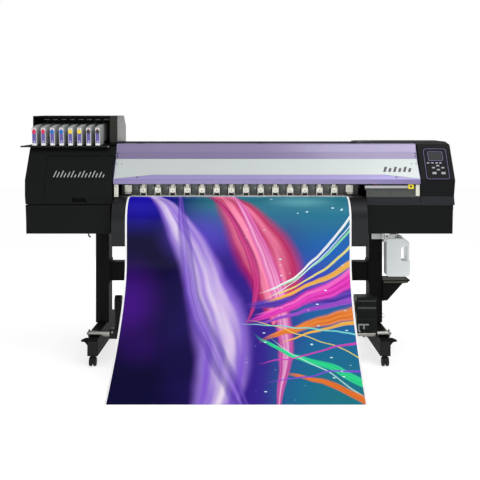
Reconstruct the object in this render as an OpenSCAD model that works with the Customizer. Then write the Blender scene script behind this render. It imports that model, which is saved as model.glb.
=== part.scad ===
/* [Stand] */
// Distance between the centres of the two columns
column_pitch = 1704; // [1690:1:1710]
// Width of a column across the machine
column_w = 82; // [76:1:84]
// Depth of a column
column_d = 120; // [110:1:130]
// Width of a foot
foot_w = 60; // [58:1:64]
// Height of the body's underside above the floor
body_base = 768; // [768:1:769]
// Sheet thickness of the stand
stand_wall = 4; // [3:0.5:5]

/* [Casters] */
// Radius of a caster wheel
wheel_r = 27; // [25:0.5:27]
// Width of one of a caster's two wheels
wheel_w = 17; // [14:0.5:18]
// How far a wheel's axle trails behind its swivel
caster_trail = 16; // [12:1:18]

/* [Body] */
// Left end of the body from the machine's centre line
left_end = -1250; // [-1255:1:-1246]
// Right end of the body
right_end = 1251; // [1249:1:1255]
// Thickness of the moulded covers
cover_wall = 4; // [3:0.5:5]
// Height of the platen's surface
platen_z = 985; // [985:0.1:985.2]

/* [Media] */
// Width of the media sheet
media_w = 1290; // [1200:1:1300]
// Centre of the media across the machine
media_x = -10; // [-12:1:-8]
// Radius of the full supply roll
supply_r = 90; // [85:1:90]

/* [Pinch row] */
// Number of pinch arms
arm_count = 14; // [10:1:14]
// Distance between pinch arms
arm_pitch = 88.5; // [88:0.1:88.6]
// Radius of the grit rings on the feed roller
grit_r = 14.9; // [14:0.1:14.9]
// Radius of a pinch roller
pinch_r = 8; // [7:0.1:8]

/* [Ink] */
// Distance between cartridges
cartridge_pitch = 53.4; // [50:0.1:54]
// Width of a cartridge
cartridge_w = 28; // [24:1:30]
// Slope of the ink shelf
shelf_slope = 6.8; // [6:0.1:7]

/* [Hidden] */
CARTRIDGES = [for (i = [1 : 8]) str("cartridge_", i)];
CORNERS = ["front_left", "front_right", "rear_left", "rear_right"];
FORKS = [for (c = CORNERS) str("caster_fork_", c)];
WHEELS = [for (c = CORNERS) str("caster_wheels_", c)];
KEYS = ["function_key_1", "function_key_2", "function_key_3", "function_key_4",
        "arrow_key_left", "arrow_key_up", "arrow_key_down", "arrow_key_right", "end_key", "enter_key"];

$fn = 48;
fit = 0.05;            // radial clearance of a running fit
gap = 0.4;             // clearance between parts that move past each other
origin_x = 23.25;      // from the stand's centre line to the middle of the whole
origin_y = 305.76;     // from the foot's middle to the middle of the whole
stand_x = -6;          // centre of the stand across the machine
column_y = 23;
foot_y = [-350, 350];
foot_z = 61;
foot_top = 185;
toe_y = -230;          // the foot is lower in front of this
toe_top = 159.5;
caster_y = 318;
stem_r = 5.5;
beam_y = [-20, 66];
beam_z = [443, 562];
pipe_r = 16.5;
pipe_y = -278;
pipe_z = toe_top + pipe_r;

casing_x = [left_end, -738];
door_x = [-1134, -742];
door_top = 1222;
right_front_x = 1052;  // the right casing reaches the front from here on
right_rear_x = 731;    // and only behind the cover from here to there
rear_y = 235;
cover_x = [-737, 1050];
cover_hinge = [-203, 1302];
cover_hinges = [-600, 120, 680];
cover_barrel_r = 3.8;
door_hinge = [-276.2, 1223.5];
door_hinges = [-1070, -806];
door_barrel_r = 2.2;
barrel_half = 22;      // half the length of a hinge, and of its fixed lug
lug_half = 10;

// Outlines are (depth, height) pairs, seen from the machine's left end
casing_outline = [[-345, 944], [-358, 991], [-358, 1086], [-247, 1278], [-60, 1303],
                  [rear_y, 1306], [rear_y, 944]];
right_outline = [[-346, 940], [-333, 990], [-357, 1084], [-237, 1294], [-150, 1312],
                 [91, 1323], [rear_y, 1323], [rear_y, 940]];
right_top = [[-192, 1296], [-190, 1305], [-150, 1312], [91, 1323], [rear_y, 1323], [rear_y, 940]];
left_skirt_outline = [[-330, body_base + 2], [-334, 850], [-345, 942], [rear_y, 942], [rear_y, body_base + 2]];
right_skirt_outline = [[-330, body_base + 2], [-334, 850], [-346, 938], [rear_y, 938], [rear_y, body_base + 2]];
right_lip = [[-346, 937.5], [-333, 985], [-333, 1050]];
cover_outline = [[-206, 1301], [-218, 1298], [-244, 1250], [-264, 1207], [-348, 1088], [-348, 1062]];
roof_outline = [[-195, 1288], [-195, 1303], [-150, 1312], [91, 1316], [rear_y - 4, 1316]];

guide_r = 136;         // bend of the front guide
guide_y = -300;
guide_z = platen_z - guide_r;
rear_r = 130;          // bend of the rear guide
rear_guide_y = 200;
guide_x = [-734, 730];
web_lift = 0.5;        // the media's height above the platen
web_t = 1;
supply_y = 300;
supply_z = 640;
core_r = 38;
core_bore = 25;
core_x = [-690, 670];
take_up_y = -265;
take_up_z = 330;
feed_y = -180;
feed_z = platen_z - 0.1 - grit_r;
feed_shaft_r = 8;
pinch_z = platen_z + web_lift + web_t + 0.4 + pinch_r;
first_arm = -583;
clamp_y = 20;
clamp_z = 1045;
clamp_r = 6;
rail_y = [30, 40];
rail_z = [1180, 1200];
beam_x = [-1234, 1228];
chassis_y = [-200, 190];
chassis_top = 900;
sheet = 3;             // sheet thickness of the chassis
carriage_x = [815, 1035];

shelf_front = [-278, 1284];
cartridge_first = -1229;
bay_right = -785;      // inner face of the ink bay's right pillar

slope_top = [-237, 1294];
slope_angle = atan2(210, 120);
panel_x = [1084, 1220];
panel_t = [32, 237];
panel_h = 5;
// Middle and half size of each key, across and down the panel
key_places = [[1105, 129.5], [1129.5, 129.5], [1155, 129.5], [1177, 129.5],
              [1132.4, 161.4], [1159.5, 147.8], [1159.5, 175], [1186.6, 161.4],
              [1134, 197], [1186, 197]];
key_sizes = [[7, 4], [7, 4], [7, 4], [7, 4], [9, 4.5], [9, 4.5], [9, 4.5], [9, 4.5], [12, 7], [12, 7]];

// ---- functions ----
function unit(v) = v / norm(v);
function left_of(a, b) = let (d = unit(b - a)) [-d[1], d[0]];
// A point pushed sideways by t where two edges with normals m and n meet
function mitre(p, m, n, t) = p + t * (m + n) / (1 + m * n);
function turn(p, i) = let (k = len(p), a = p[(i + k - 1) % k], b = p[i], c = p[(i + 1) % k])
    (b[0] - a[0]) * (c[1] - b[1]) - (b[1] - a[1]) * (c[0] - b[0]);
function area(p, i = 0) = i == len(p) ? 0 :
    let (a = p[i], b = p[(i + 1) % len(p)]) (a[0] * b[1] - a[1] * b[0]) / 2 + area(p, i + 1);
// A closed outline moved inwards by t
function inset(p, t) = let (k = len(p), s = sign(area(p)) * t) [for (i = [0 : k - 1])
    mitre(p[i], left_of(p[(i + k - 1) % k], p[i]), left_of(p[i], p[(i + 1) % k]), s)];
// An open line moved to its left by t
function beside(p, t) = let (k = len(p) - 1) [for (i = [0 : k])
    i == 0 ? p[0] + t * left_of(p[0], p[1]) :
    i == k ? p[k] + t * left_of(p[k - 1], p[k]) :
    mitre(p[i], left_of(p[i - 1], p[i]), left_of(p[i], p[i + 1]), t)];
function reversed(p) = [for (i = [len(p) - 1 : -1 : 0]) p[i]];
function ribbon(p, t) = concat(p, reversed(beside(p, t)));
function arc(c, r, a0, a1, steps) = [for (i = [0 : steps])
    let (a = a0 + (a1 - a0) * i / steps) c + r * [cos(a), sin(a)]];
function bezier(a, b, c, d, steps) = [for (i = [1 : steps]) let (t = i / steps, s = 1 - t)
    s * s * s * a + 3 * s * s * t * b + 3 * s * t * t * c + t * t * t * d];
function shelf_at(y) = shelf_front[1] + (y - shelf_front[0]) * tan(shelf_slope);
function arm_x(i) = first_arm + arm_pitch * i;
function web_x() = [media_x - media_w / 2, media_x + media_w / 2];

// The media's underside, from the supply roll over the platen to the floor
web_front = guide_y - guide_r - web_lift;
web_path = concat(
    [[supply_y + 84.9, supply_z + 34], [rear_guide_y + rear_r + web_lift, 790]],
    arc([rear_guide_y, platen_z - rear_r], rear_r + web_lift, 0, 90, 8),
    arc([guide_y, guide_z], guide_r + web_lift, 90, 180, 12),
    [[web_front, 633]],
    bezier([web_front, 633], [web_front, 400], [-760, 150], [-1001, 3], 18));
guide_path = concat(arc([guide_y, guide_z], guide_r, 90, 180, 12), [[-436, 720], [-426, 709], [-400, 706]]);

// ---- building blocks ----
module placed() { translate([origin_x, origin_y, 0]) children(); }
module block(x, y, z) {
    translate([x[0], y[0], z[0]]) cube([x[1] - x[0], y[1] - y[0], z[1] - z[0]]);
}
module slab(x, outline) {
    translate([x[0], 0, 0]) rotate([90, 0, 90]) linear_extrude(x[1] - x[0]) polygon(outline);
}
// An outline of (across, height) pairs, extruded along the depth
module plate_y(y, outline) {
    translate([0, y[1], 0]) rotate([90, 0, 0]) linear_extrude(y[1] - y[0]) polygon(outline);
}
module rod(x, y, z, r) { translate([x[0], y, z]) rotate([0, 90, 0]) cylinder(h = x[1] - x[0], r = r); }
module post(x, y, z, r) { translate([x, y, z[0]]) cylinder(h = z[1] - z[0], r = r); }
// A hinge's fixed lug with its pin
module hinge_lug(x, axis, r) {
    rod([x - lug_half, x + lug_half], axis[0], axis[1], r);
    rod([x - barrel_half, x + barrel_half], axis[0], axis[1], r / 2);
}
// Its children with knuckles added on both sides of each lug, and cut clear of lug and pin
module hinged(places, axis, r) {
    reach = lug_half + gap;
    difference() {
        union() {
            children();
            for (x = places) rod([x - barrel_half, x + barrel_half], axis[0], axis[1], r);
        }
        for (x = places) {
            rod([x - reach, x + reach], axis[0], axis[1], r + gap);
            rod([x - barrel_half - 1, x + barrel_half + 1], axis[0], axis[1], r / 2 + fit);
        }
    }
}
// Puts its children on the right casing's sloping front: X across, Y up the slope, Z out
module on_slope() {
    translate([0, slope_top[0], slope_top[1]]) rotate([slope_angle, 0, 0]) children();
}

// ---- stand ----
function side_x(side) = stand_x + side * column_pitch / 2;
function inner_face(side) = side_x(side) - side * column_w / 2;
function outer_face(side) = side_x(side) + side * column_w / 2;
function span(a, b) = [min(a, b), max(a, b)];

foot_outline = [[foot_y[0], foot_z], [foot_y[0], 150], [foot_y[0] + 10, toe_top], [toe_y, toe_top],
                [toe_y, foot_top], [foot_y[1] - 6, foot_top], [foot_y[1], foot_top - 6], [foot_y[1], foot_z]];

module foot_shell(x) {
    inner = [x - foot_w / 2 + stand_wall, x + foot_w / 2 - stand_wall];
    difference() {
        slab([x - foot_w / 2, x + foot_w / 2], foot_outline);
        slab(inner, inset(foot_outline, stand_wall));
        block(inner, [foot_y[0] + stand_wall, foot_y[1] - stand_wall], [foot_z - 1, foot_z + stand_wall + 1]);
    }
}

module caster_seat(x, y) {
    block([x - foot_w / 2, x + foot_w / 2], [y - 28, y + 28], [foot_z, foot_z + 8]);
    post(x, y, [foot_z + 8, foot_z + 32], 12);
}

module side_pedal(side) {
    edge = side_x(side) + side * foot_w / 2;
    outline = [[-1, 150], [0, 158], [17, 158], [40, 148], [40, 143], [17, 139], [0, 118], [-1, 118]];
    plate_y([-338, -306], [for (p = outline) [edge + side * p[0], p[1]]]);
}

module leg(side) {
    x = side_x(side);
    cx = [x - column_w / 2, x + column_w / 2];
    cy = [column_y - column_d / 2, column_y + column_d / 2];
    color([0.125, 0.125, 0.125]) placed() difference() {
        union() {
            foot_shell(x);
            for (y = [-caster_y, caster_y]) caster_seat(x, y);
            side_pedal(side);
            difference() {
                block(cx, cy, [foot_top, body_base]);
                block([cx[0] + 3, cx[1] - 3], [cy[0] + 3, cy[1] - 3], [foot_top + 6, body_base + 1]);
            }
        }
        for (y = [-caster_y, caster_y]) post(x, y, [foot_z - 1, foot_z + 25], stem_r + fit);
    }
}
module left_leg() { leg(-1); }
module right_leg() { leg(1); }

module stand_beam() {
    x = [inner_face(-1), inner_face(1)];
    color([0.11, 0.11, 0.11]) placed() {
        difference() {
            block(x, beam_y, beam_z);
            block([x[0] - 1, x[1] + 1], [beam_y[0] + 3, beam_y[1] - 3], [beam_z[0] + 3, beam_z[1] - 3]);
        }
        for (e = [[x[0], x[0] + 6], [x[1] - 6, x[1]]]) difference() {
            block(e, [column_y - 60, column_y + 60], [beam_z[0] - 13, beam_z[1] + 13]);
            block([e[0] - 1, e[1] + 1], [beam_y[0] + 1, beam_y[1] - 1], [beam_z[0] + 1, beam_z[1] - 1]);
        }
    }
}

// ---- casters ----
function caster_x(i) = side_x(i % 2 == 0 ? -1 : 1);
function caster_at(i) = i < 2 ? -caster_y : caster_y;
function axle_y(i) = caster_at(i) - (i < 2 ? caster_trail : -caster_trail);

module caster_fork(i) {
    x = caster_x(i);
    web = 6;
    color([0.1, 0.1, 0.1]) placed() {
        post(x, caster_at(i), [55, foot_z - gap], 21);
        slab([x - web / 2, x + web / 2], [[caster_at(i) - 12, 56], [caster_at(i) + 12, 56],
            [axle_y(i) + 8, wheel_r - 7], [axle_y(i) - 8, wheel_r - 7]]);
        rod([x - web / 2, x + web / 2], axle_y(i), wheel_r, 12);
        post(x, caster_at(i), [foot_z - gap - 1, foot_z + 24], stem_r);
        rod([x - web / 2 - wheel_w - 1.5, x + web / 2 + wheel_w + 1.5], axle_y(i), wheel_r, 4);
    }
}
module caster_wheels(i) {
    x = caster_x(i);
    inner = 3 + gap;
    color([0.08, 0.08, 0.08]) placed() for (s = [-1, 1])
        translate([x + s * (inner + wheel_w / 2), axle_y(i), wheel_r]) rotate([0, 90, 0]) rotate_extrude($fn = 96)
            polygon([[4 + fit, -wheel_w / 2], [wheel_r - 3, -wheel_w / 2], [wheel_r, -wheel_w / 2 + 3],
                     [wheel_r, wheel_w / 2 - 3], [wheel_r - 3, wheel_w / 2], [4 + fit, wheel_w / 2]]);
}

// ---- frame ----
module chassis() {
    y = chassis_y;
    x = [left_end + 6, right_end - 14];
    uprights = [[beam_x[0] - 6, beam_x[0]], [beam_x[1], beam_x[1] + 6]];
    color([0.35, 0.36, 0.37]) placed() difference() {
        union() {
            block(x, y, [body_base, body_base + sheet]);
            block(x, [y[0], y[0] + sheet], [body_base, chassis_top]);
            block(x, [y[1] - sheet, y[1]], [body_base, chassis_top]);
            for (u = uprights) block(u, [-140, y[1]], [body_base, 1280]);
            for (rib = [-720 : 288 : 720]) {
                block([rib - sheet / 2, rib + sheet / 2], y, [body_base, chassis_top]);
                block([rib - sheet / 2, rib + sheet / 2], [-160, y[1]], [chassis_top - 10, platen_z - 4]);
            }
            for (b = [-712, 700])
                block([b, b + 12], [feed_y - 20, feed_y + 19], [chassis_top - 2, platen_z - 4.2]);
            post(955, -60, [746, body_base + sheet], 8);
        }
        rod([-713, 713], feed_y, feed_z, feed_shaft_r + fit);
        rod([-699, 699], feed_y, feed_z, grit_r + 3);
        post(955, -60, [745, body_base + 6], 5);
    }
}

module platen() {
    window = 17;
    color([0.34, 0.34, 0.36]) placed() difference() {
        union() {
            block(guide_x, [guide_y + gap, rear_guide_y], [platen_z - 4, platen_z]);
            block(guide_x, [guide_y + gap, guide_y + 4], [platen_z - 45, platen_z]);
            block(guide_x, [rear_guide_y - 6, rear_guide_y - 2], [platen_z - 45, platen_z]);
            slab(guide_x, ribbon(concat(reversed(arc([rear_guide_y, platen_z - rear_r], rear_r, 0, 90, 8)),
                [[rear_guide_y + rear_r, 790]]), -4));
        }
        for (i = [0 : arm_count - 1])
            block([arm_x(i) - 28, arm_x(i) + 28], [feed_y - window, feed_y + window], [platen_z - 5, platen_z + 1]);
    }
}

module front_guide() {
    ends = concat(guide_path, [[-330, 760], [guide_y, 900]]);
    color([0.32, 0.36, 0.365]) placed() {
        slab(guide_x, ribbon(guide_path, 3));
        for (x = [[guide_x[0], guide_x[0] + 3], [guide_x[1] - 3, guide_x[1]]]) slab(x, ends);
    }
}

module guide_rail() {
    y = [40, 140];
    z = [1120, 1260];
    color([0.62, 0.63, 0.64]) placed() {
        difference() {
            block(beam_x, y, z);
            block([beam_x[0] - 1, beam_x[1] + 1], [y[0] + 3, y[1] - 3], [z[0] + 3, z[1] - 3]);
        }
        block([beam_x[0] + 60, beam_x[1] - 30], rail_y, rail_z);
        for (b = [-700, -275, 255, 696]) difference() {
            union() {
                block([b, b + 6], [clamp_y - 12, y[0] + 20], [clamp_z - 12, z[0]]);
                block([b - 8, b + 14], [y[0], y[0] + 20], [z[0] - 4, z[0]]);
            }
            rod([b - 10, b + 20], clamp_y, clamp_z, clamp_r + fit);
        }
        for (p = [-1150, 1170]) rod_upright(p);
        for (s = [22, 34]) block([-1150, 1170], [s - 1, s + 1], [1224, 1232]);
    }
}
module rod_upright(x) {
    post(x, 28, [1220, 1236], 5);
    block([x - 8, x + 8], [20, 40.5], [1236, 1240]);
}

// ---- covers ----
module left_casing() {
    inner = [casing_x[0] + cover_wall, casing_x[1] + 1];
    color([0.125, 0.13, 0.13]) placed() {
        difference() {
            slab(casing_x, casing_outline);
            slab(inner, inset(casing_outline, cover_wall));
            block(inner, [-341, rear_y - cover_wall], [943, 950]);
            block([door_x[0] - 2, casing_x[1] + 1], [-400, -200], [943, door_top + 5]);
        }
        for (x = door_hinges) {
            hinge_lug(x, door_hinge, door_barrel_r);
            slab([x - lug_half, x + lug_half], hinge_strip(6));
        }
    }
}
// The strip that joins the door's hinge axis to the wall, up or down the slope
function hinge_strip(reach) = let (up = unit([111, 192]), out = [-up[1], up[0]])
    [for (q = [[-1.9, 0], [1.9, 0], [1.9, reach], [-1.9, reach]]) door_hinge + q[0] * out + q[1] * up];

module left_door() {
    color([0.12, 0.125, 0.13]) placed() hinged(door_hinges, door_hinge, door_barrel_r) {
        difference() {
            intersection() {
                slab(door_x, casing_outline);
                block(door_x, [-400, -240], [945, door_top]);
            }
            slab([door_x[0] - 1, door_x[1] + 1], inset(casing_outline, cover_wall));
            block([door_x[0] - 1, door_x[1] + 1], [-340.5, -200], [940, 950]);
            block([-975, -897], [-400, -300], [958, 982]);
        }
        for (x = door_hinges) slab([x - barrel_half, x + barrel_half], hinge_strip(-6));
    }
}

module right_casing() {
    inner = [right_front_x - 1, right_end - cover_wall];
    color([0.21, 0.215, 0.235]) placed() {
        difference() {
            slab([right_front_x, right_end], right_outline);
            slab(inner, inset(right_outline, cover_wall));
            block(inner, [-341, rear_y - cover_wall], [939, 946]);
        }
        slab([right_rear_x, right_front_x], ribbon(right_top, -cover_wall));
    }
}

// The end nearer the middle is cut away round the chassis
module skirt(x, outline) {
    inner = inset(outline, 3);
    end = x[0] < 0 ? x[1] : x[0];
    difference() {
        slab(x, outline);
        slab([x[0] + 3, x[1] - 3], inner);
        block([x[0] + 3, x[1] - 3], [-326.5, rear_y - 3], [body_base, body_base + 7]);
        block([x[0] + 3, x[1] - 3], [-340, rear_y - 3], [934, 943]);
        block([end - 4, end + 4], [chassis_y[0] - gap, rear_y - 3], [body_base, chassis_top + gap]);
    }
}
module left_skirt() { color([0.125, 0.13, 0.13]) placed() skirt([left_end, -755], left_skirt_outline); }
module right_skirt() {
    color([0.14, 0.145, 0.155]) placed() {
        skirt([738, right_end - 8], right_skirt_outline);
        slab([738, cover_x[1]], ribbon(right_lip, -4));
    }
}

module roof() {
    color([0.19, 0.18, 0.2]) placed() {
        slab([casing_x[1], right_rear_x], ribbon(roof_outline, -4));
        for (x = cover_hinges) {
            hinge_lug(x, cover_hinge, cover_barrel_r);
            block([x - lug_half, x + lug_half], [cover_hinge[0], roof_outline[0][0] + 3], [1299, 1303]);
        }
    }
}

module rear_cover() {
    color([0.15, 0.15, 0.16]) placed()
        slab([casing_x[1], right_rear_x], ribbon([[196, 1002], [rear_y, 1014], [rear_y, 1316]], 4));
}

module cover_frame() {
    ends = [[cover_x[0], cover_x[0] + 3], [cover_x[1] - 3, cover_x[1]]];
    color([0.51, 0.46, 0.64]) placed() hinged(cover_hinges, cover_hinge, cover_barrel_r) {
        slab(cover_x, ribbon(cover_outline, 4));
        for (x = ends) slab(x, ribbon(cover_outline, 24));
    }
}

panel_drop = [113, 140];   // the silver panel's length down the slope, in the middle and at its ends
panel_turn = [-508, 841];  // where its lower edge starts to droop
cover_slope = atan2(119, 84);
module cover_panel() {
    x = [cover_x[0] + 3, cover_x[1] - 3];
    color([0.82, 0.85, 0.85]) placed() translate([0, -264, 1207]) rotate([cover_slope, 0, 0])
        linear_extrude(2) polygon([[x[0], -1], [x[1], -1], [x[1], -panel_drop[1]],
            [panel_turn[1], -panel_drop[0]], [panel_turn[0], -panel_drop[0]], [x[0], -panel_drop[1]]]);
}

// ---- ink ----
module ink_bay() {
    outline = [[-183, 1292], [-183, 1465], [69, 1480], [152, 1416], [152, 1307], [-60, 1307]];
    front = [[-190, shelf_at(-190) - 3], [-190, 1457], [8, 1470], [8, shelf_at(8) - 3]];
    rear = [[14, 1300], [14, 1471], [66, 1475], [147, 1413], [147, 1300]];
    shelf = [[shelf_front[0], shelf_front[1]], [8, shelf_at(8)]];
    color([0.2, 0.2, 0.195]) placed() {
        difference() {
            slab([left_end, -740], outline);
            slab([left_end + 6, bay_right], front);
            slab([left_end + 6, -746], rear);
        }
        intersection() {
            slab([-1300, -771], ribbon(shelf, -3));
            translate([0, 0, 1270]) linear_extrude(60)
                polygon([[-1298, shelf_front[0] - 1], [-771, shelf_front[0] - 1], [-771, -184],
                         [bay_right, -184], [bay_right, 8], [left_end + 6, 8], [left_end + 6, -184], [left_end, -184]]);
        }
        for (i = [0 : 8]) fin(cartridge_first + cartridge_pitch * (i - 0.5) + cartridge_w / 2);
    }
}
module fin(x) {
    slab([x - 1.5, x + 1.5], [for (p = [[-178, -1], [-170, 12], [8.5, 12], [8.5, -1]]) [p[0], shelf_at(p[0]) + p[1]]]);
}

module cartridge(i) {
    x = cartridge_first + cartridge_pitch * i;
    color([0.55, 0.55, 0.55]) placed() translate([x, shelf_front[0], shelf_front[1] + 1.2]) rotate([shelf_slope, 0, 0])
        slab([0, cartridge_w], [[0, 0], [0, 103], [4, 107], [94, 115], [280, 115], [280, 0]]);
}

// ---- print carriage and media drive ----
module carriage() {
    x = carriage_x;
    color([0.3, 0.3, 0.31]) placed() difference() {
        union() {
            slab(x, [[-235, 1072], [-235, 1195], [-200, 1222], [24, 1222], [24, 1126], [2, 1126], [2, 1072]]);
            slab([x[0] + 10, x[1] - 10], [[-304, 992], [-304, 1078], [-292, 1090], [-234, 1090], [-234, 1072],
                [-212, 1072], [-212, 992]]);
            block([x[0] + 35, x[1] - 35], [23, 39.4], [rail_z[0] - 12, rail_z[1] + 12]);
            block([x[0] - gap - 3, x[0] + 1], [-292, -236], [1074, 1106]);
            block([x[0] - gap - 3, x[0] + 11], [-290, -240], [1040, 1095]);
        }
        slab([x[0] + 3, x[1] - 3], [[-232, 1104], [-232, 1194], [-199, 1219], [20, 1219], [20, 1130],
            [-2, 1130], [-2, 1104]]);
        block([x[0] + 30, x[1] - 30], [10, 25], [1134, 1160]);
        block([x[0] - 10, x[1] + 10], [rail_y[0] - gap, rail_y[1] + 5], [rail_z[0] - gap, rail_z[1] + gap]);
    }
}

module cutter() {
    x = carriage_x[0] - gap - 3.4;
    color([0.55, 0.12, 0.12]) placed() {
        block([x - 20, x], [-290, -240], [1012, 1086]);
        block([x - 14, x - 6], [-276, -254], [1004, 1013]);
        rod([x - 10.6, x - 9.4], -265, 1008, 9);
    }
}

module feed_roller() {
    color([0.6, 0.6, 0.6]) placed() {
        rod([-716, 722], feed_y, feed_z, feed_shaft_r);
        for (i = [0 : arm_count - 1]) rod([arm_x(i) - 24, arm_x(i) + 24], feed_y, feed_z, grit_r);
        rod([713, 722], feed_y, feed_z, 10.5);
    }
}

// One pinch arm: hub on the clamp shaft, long arm and the block that carries the roller
arm_outline = [[clamp_y - 9, clamp_z - 9], [-150, 1008], [-158, 1001], [-193, 1001], [-195, 1012], [-195, 1030],
               [-178, 1053], [-150, 1053], [clamp_y, clamp_z + 9]];
module pinch_arms() {
    color([0.86, 0.86, 0.8]) placed() for (i = [0 : arm_count - 1]) difference() {
        union() {
            slab([arm_x(i) - 11, arm_x(i) + 11], arm_outline);
            rod([arm_x(i) - 19, arm_x(i) + 19], clamp_y, clamp_z, 11);
            for (s = [-1, 1]) slab([arm_x(i) + s * 17 - 2, arm_x(i) + s * 17 + 2],
                [[-196, pinch_z - 6], [-196, 1028], [-186, 1044], [-164, 1044], [-164, pinch_z - 6]]);
            block([arm_x(i) - 19, arm_x(i) + 19], [-194, -166], [1006, 1030]);
        }
        rod([arm_x(i) - 30, arm_x(i) + 30], clamp_y, clamp_z, clamp_r + fit);
        rod([arm_x(i) - 14.6, arm_x(i) + 14.6], feed_y, pinch_z, pinch_r + 1);
        rod([arm_x(i) - 30, arm_x(i) + 30], feed_y, pinch_z, 2.5 + fit);
    }
}
module pinch_rollers() {
    color([0.2, 0.2, 0.2]) placed() for (i = [0 : arm_count - 1]) {
        rod([arm_x(i) - 14, arm_x(i) + 14], feed_y, pinch_z, pinch_r);
        rod([arm_x(i) - 19.5, arm_x(i) + 19.5], feed_y, pinch_z, 2.5);
    }
}
module clamp_lever() {
    color([0.25, 0.25, 0.26]) placed() {
        rod([-706, 726], clamp_y, clamp_z, clamp_r);
        slab([715, 724], [[clamp_y - 4, clamp_z - 9], [-160, clamp_z - 7], [-186, clamp_z - 14],
            [-190, clamp_z - 8], [-162, clamp_z + 3], [clamp_y - 4, clamp_z + 9], [clamp_y + 8, clamp_z]]);
    }
}

module capping_station() {
    color([0.3, 0.3, 0.3]) placed() {
        block([800, 1036], [-318, -200], [905, 940]);
        for (x = [830, 905, 980]) difference() {
            block([x, x + 50], [-312, -215], [939, 986]);
            block([x + 4, x + 46], [-308, -219], [976, 987]);
        }
        block([806, 810], [-300, -225], [939, 989]);
    }
}

// ---- media ----
module media_web() { color([0.2, 0.3, 0.7]) placed() slab(web_x(), ribbon(web_path, -web_t)); }

module supply_roll() {
    color([0.92, 0.92, 0.9]) placed() difference() {
        union() {
            rod([web_x()[0], web_x()[1]], supply_y, supply_z, supply_r);
            rod(core_x, supply_y, supply_z, core_r);
        }
        rod([core_x[0] - 1, core_x[1] + 1], supply_y, supply_z, core_bore);
    }
}
module supply_brackets() {
    arm = [[110, body_base], [190, body_base], [330, 675], [336, 640], [326, 608], [290, 602], [262, 620]];
    color([0.16, 0.16, 0.165]) placed() {
        for (x = [[core_x[0] - 16, core_x[0] - 6], [core_x[1] + 6, core_x[1] + 16]]) slab(x, arm);
        rod([core_x[0] - 7, core_x[0] + 30], supply_y, supply_z, core_bore - fit);
        rod([core_x[1] - 30, core_x[1] + 7], supply_y, supply_z, core_bore - fit);
    }
}

drive_x = [682, 800];
holder_x = [-740, -700];
module take_up_frame() {
    ends = [side_x(-1) - foot_w / 2, side_x(1) + foot_w / 2];
    y = take_up_y;
    color([0.7, 0.71, 0.72]) placed() {
        rod([ends[0] - 7, ends[1] + 7], pipe_y, pipe_z, pipe_r);
        for (x = [[ends[0] - 7, ends[0] - 1], [ends[1] + 1, ends[1] + 7]]) rod(x, pipe_y, pipe_z, 24);
        rod([ends[0] - 17, ends[0] - 6], pipe_y, pipe_z, 8);
        rod([ends[1] + 6, ends[1] + 17], pipe_y, pipe_z, 8);
        block([-768, holder_x[1]], [-305, -245], [149, 207]);
        slab(holder_x, concat([[y - 35, 200]], arc([y, 365], 35, 180, 0, 12), [[y + 35, 200]]));
        rod([holder_x[1] - 1, holder_x[1] + 36], y, take_up_z, core_bore - fit);
    }
}
module take_up_drive() {
    color([0.15, 0.15, 0.16]) placed() difference() {
        union() {
            slab(drive_x, [[-330, 194], [-330, 388], [-322, 396], [-208, 396], [-200, 388], [-200, 194]]);
            block([drive_x[1] - 1, drive_x[1] + 8], [-300, -235], [toe_top + 0.2, 300]);
            block([drive_x[1] + 7, side_x(1) + 12], [-258, -235], [toe_top + 0.2, toe_top + 10]);
        }
        rod([drive_x[0] - 1, drive_x[1] + 9], pipe_y, pipe_z, pipe_r + gap);
        rod([drive_x[0] - 1, drive_x[0] + 32], take_up_y, take_up_z, 15 + fit);
    }
}
module take_up_core() {
    color([0.75, 0.68, 0.55]) placed() {
        difference() {
            rod([holder_x[1] + 5, drive_x[0] - 6], take_up_y, take_up_z, core_r);
            rod([holder_x[1] + 4, drive_x[0] - 16], take_up_y, take_up_z, core_bore);
        }
        rod([drive_x[0] - 10, drive_x[0] + 30], take_up_y, take_up_z, 15);
    }
}

// ---- right side extras ----
module tool_tray() {
    x = [outer_face(1), 1058];
    y = [-60, 100];
    z = [430, 452];
    color([0.17, 0.17, 0.17]) placed() {
        difference() {
            tray_cup(x, y, z, 0);
            translate([0, 0, 3]) tray_cup(x, y, z, 3);
        }
        for (g = [y[0] + 18, y[1] - 21]) plate_y([g, g + 3],
            [[x[0], z[0] + 1], [x[0] + 128, z[0] + 1], [x[0] + 30, 322], [x[0], 322]]);
        block([x[0], x[0] + 3], y, [322, z[1]]);
    }
}
module tray_cup(x, y, z, t) {
    hull() {
        block([x[0] + t, x[1] - 26 - t], [y[0] + 16 + t, y[1] - 16 - t], [z[0], z[0] + 0.1]);
        block([x[0] + t, x[1] - t], [y[0] + t, y[1] - t], [z[1] - 0.1, z[1]]);
    }
}

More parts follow.
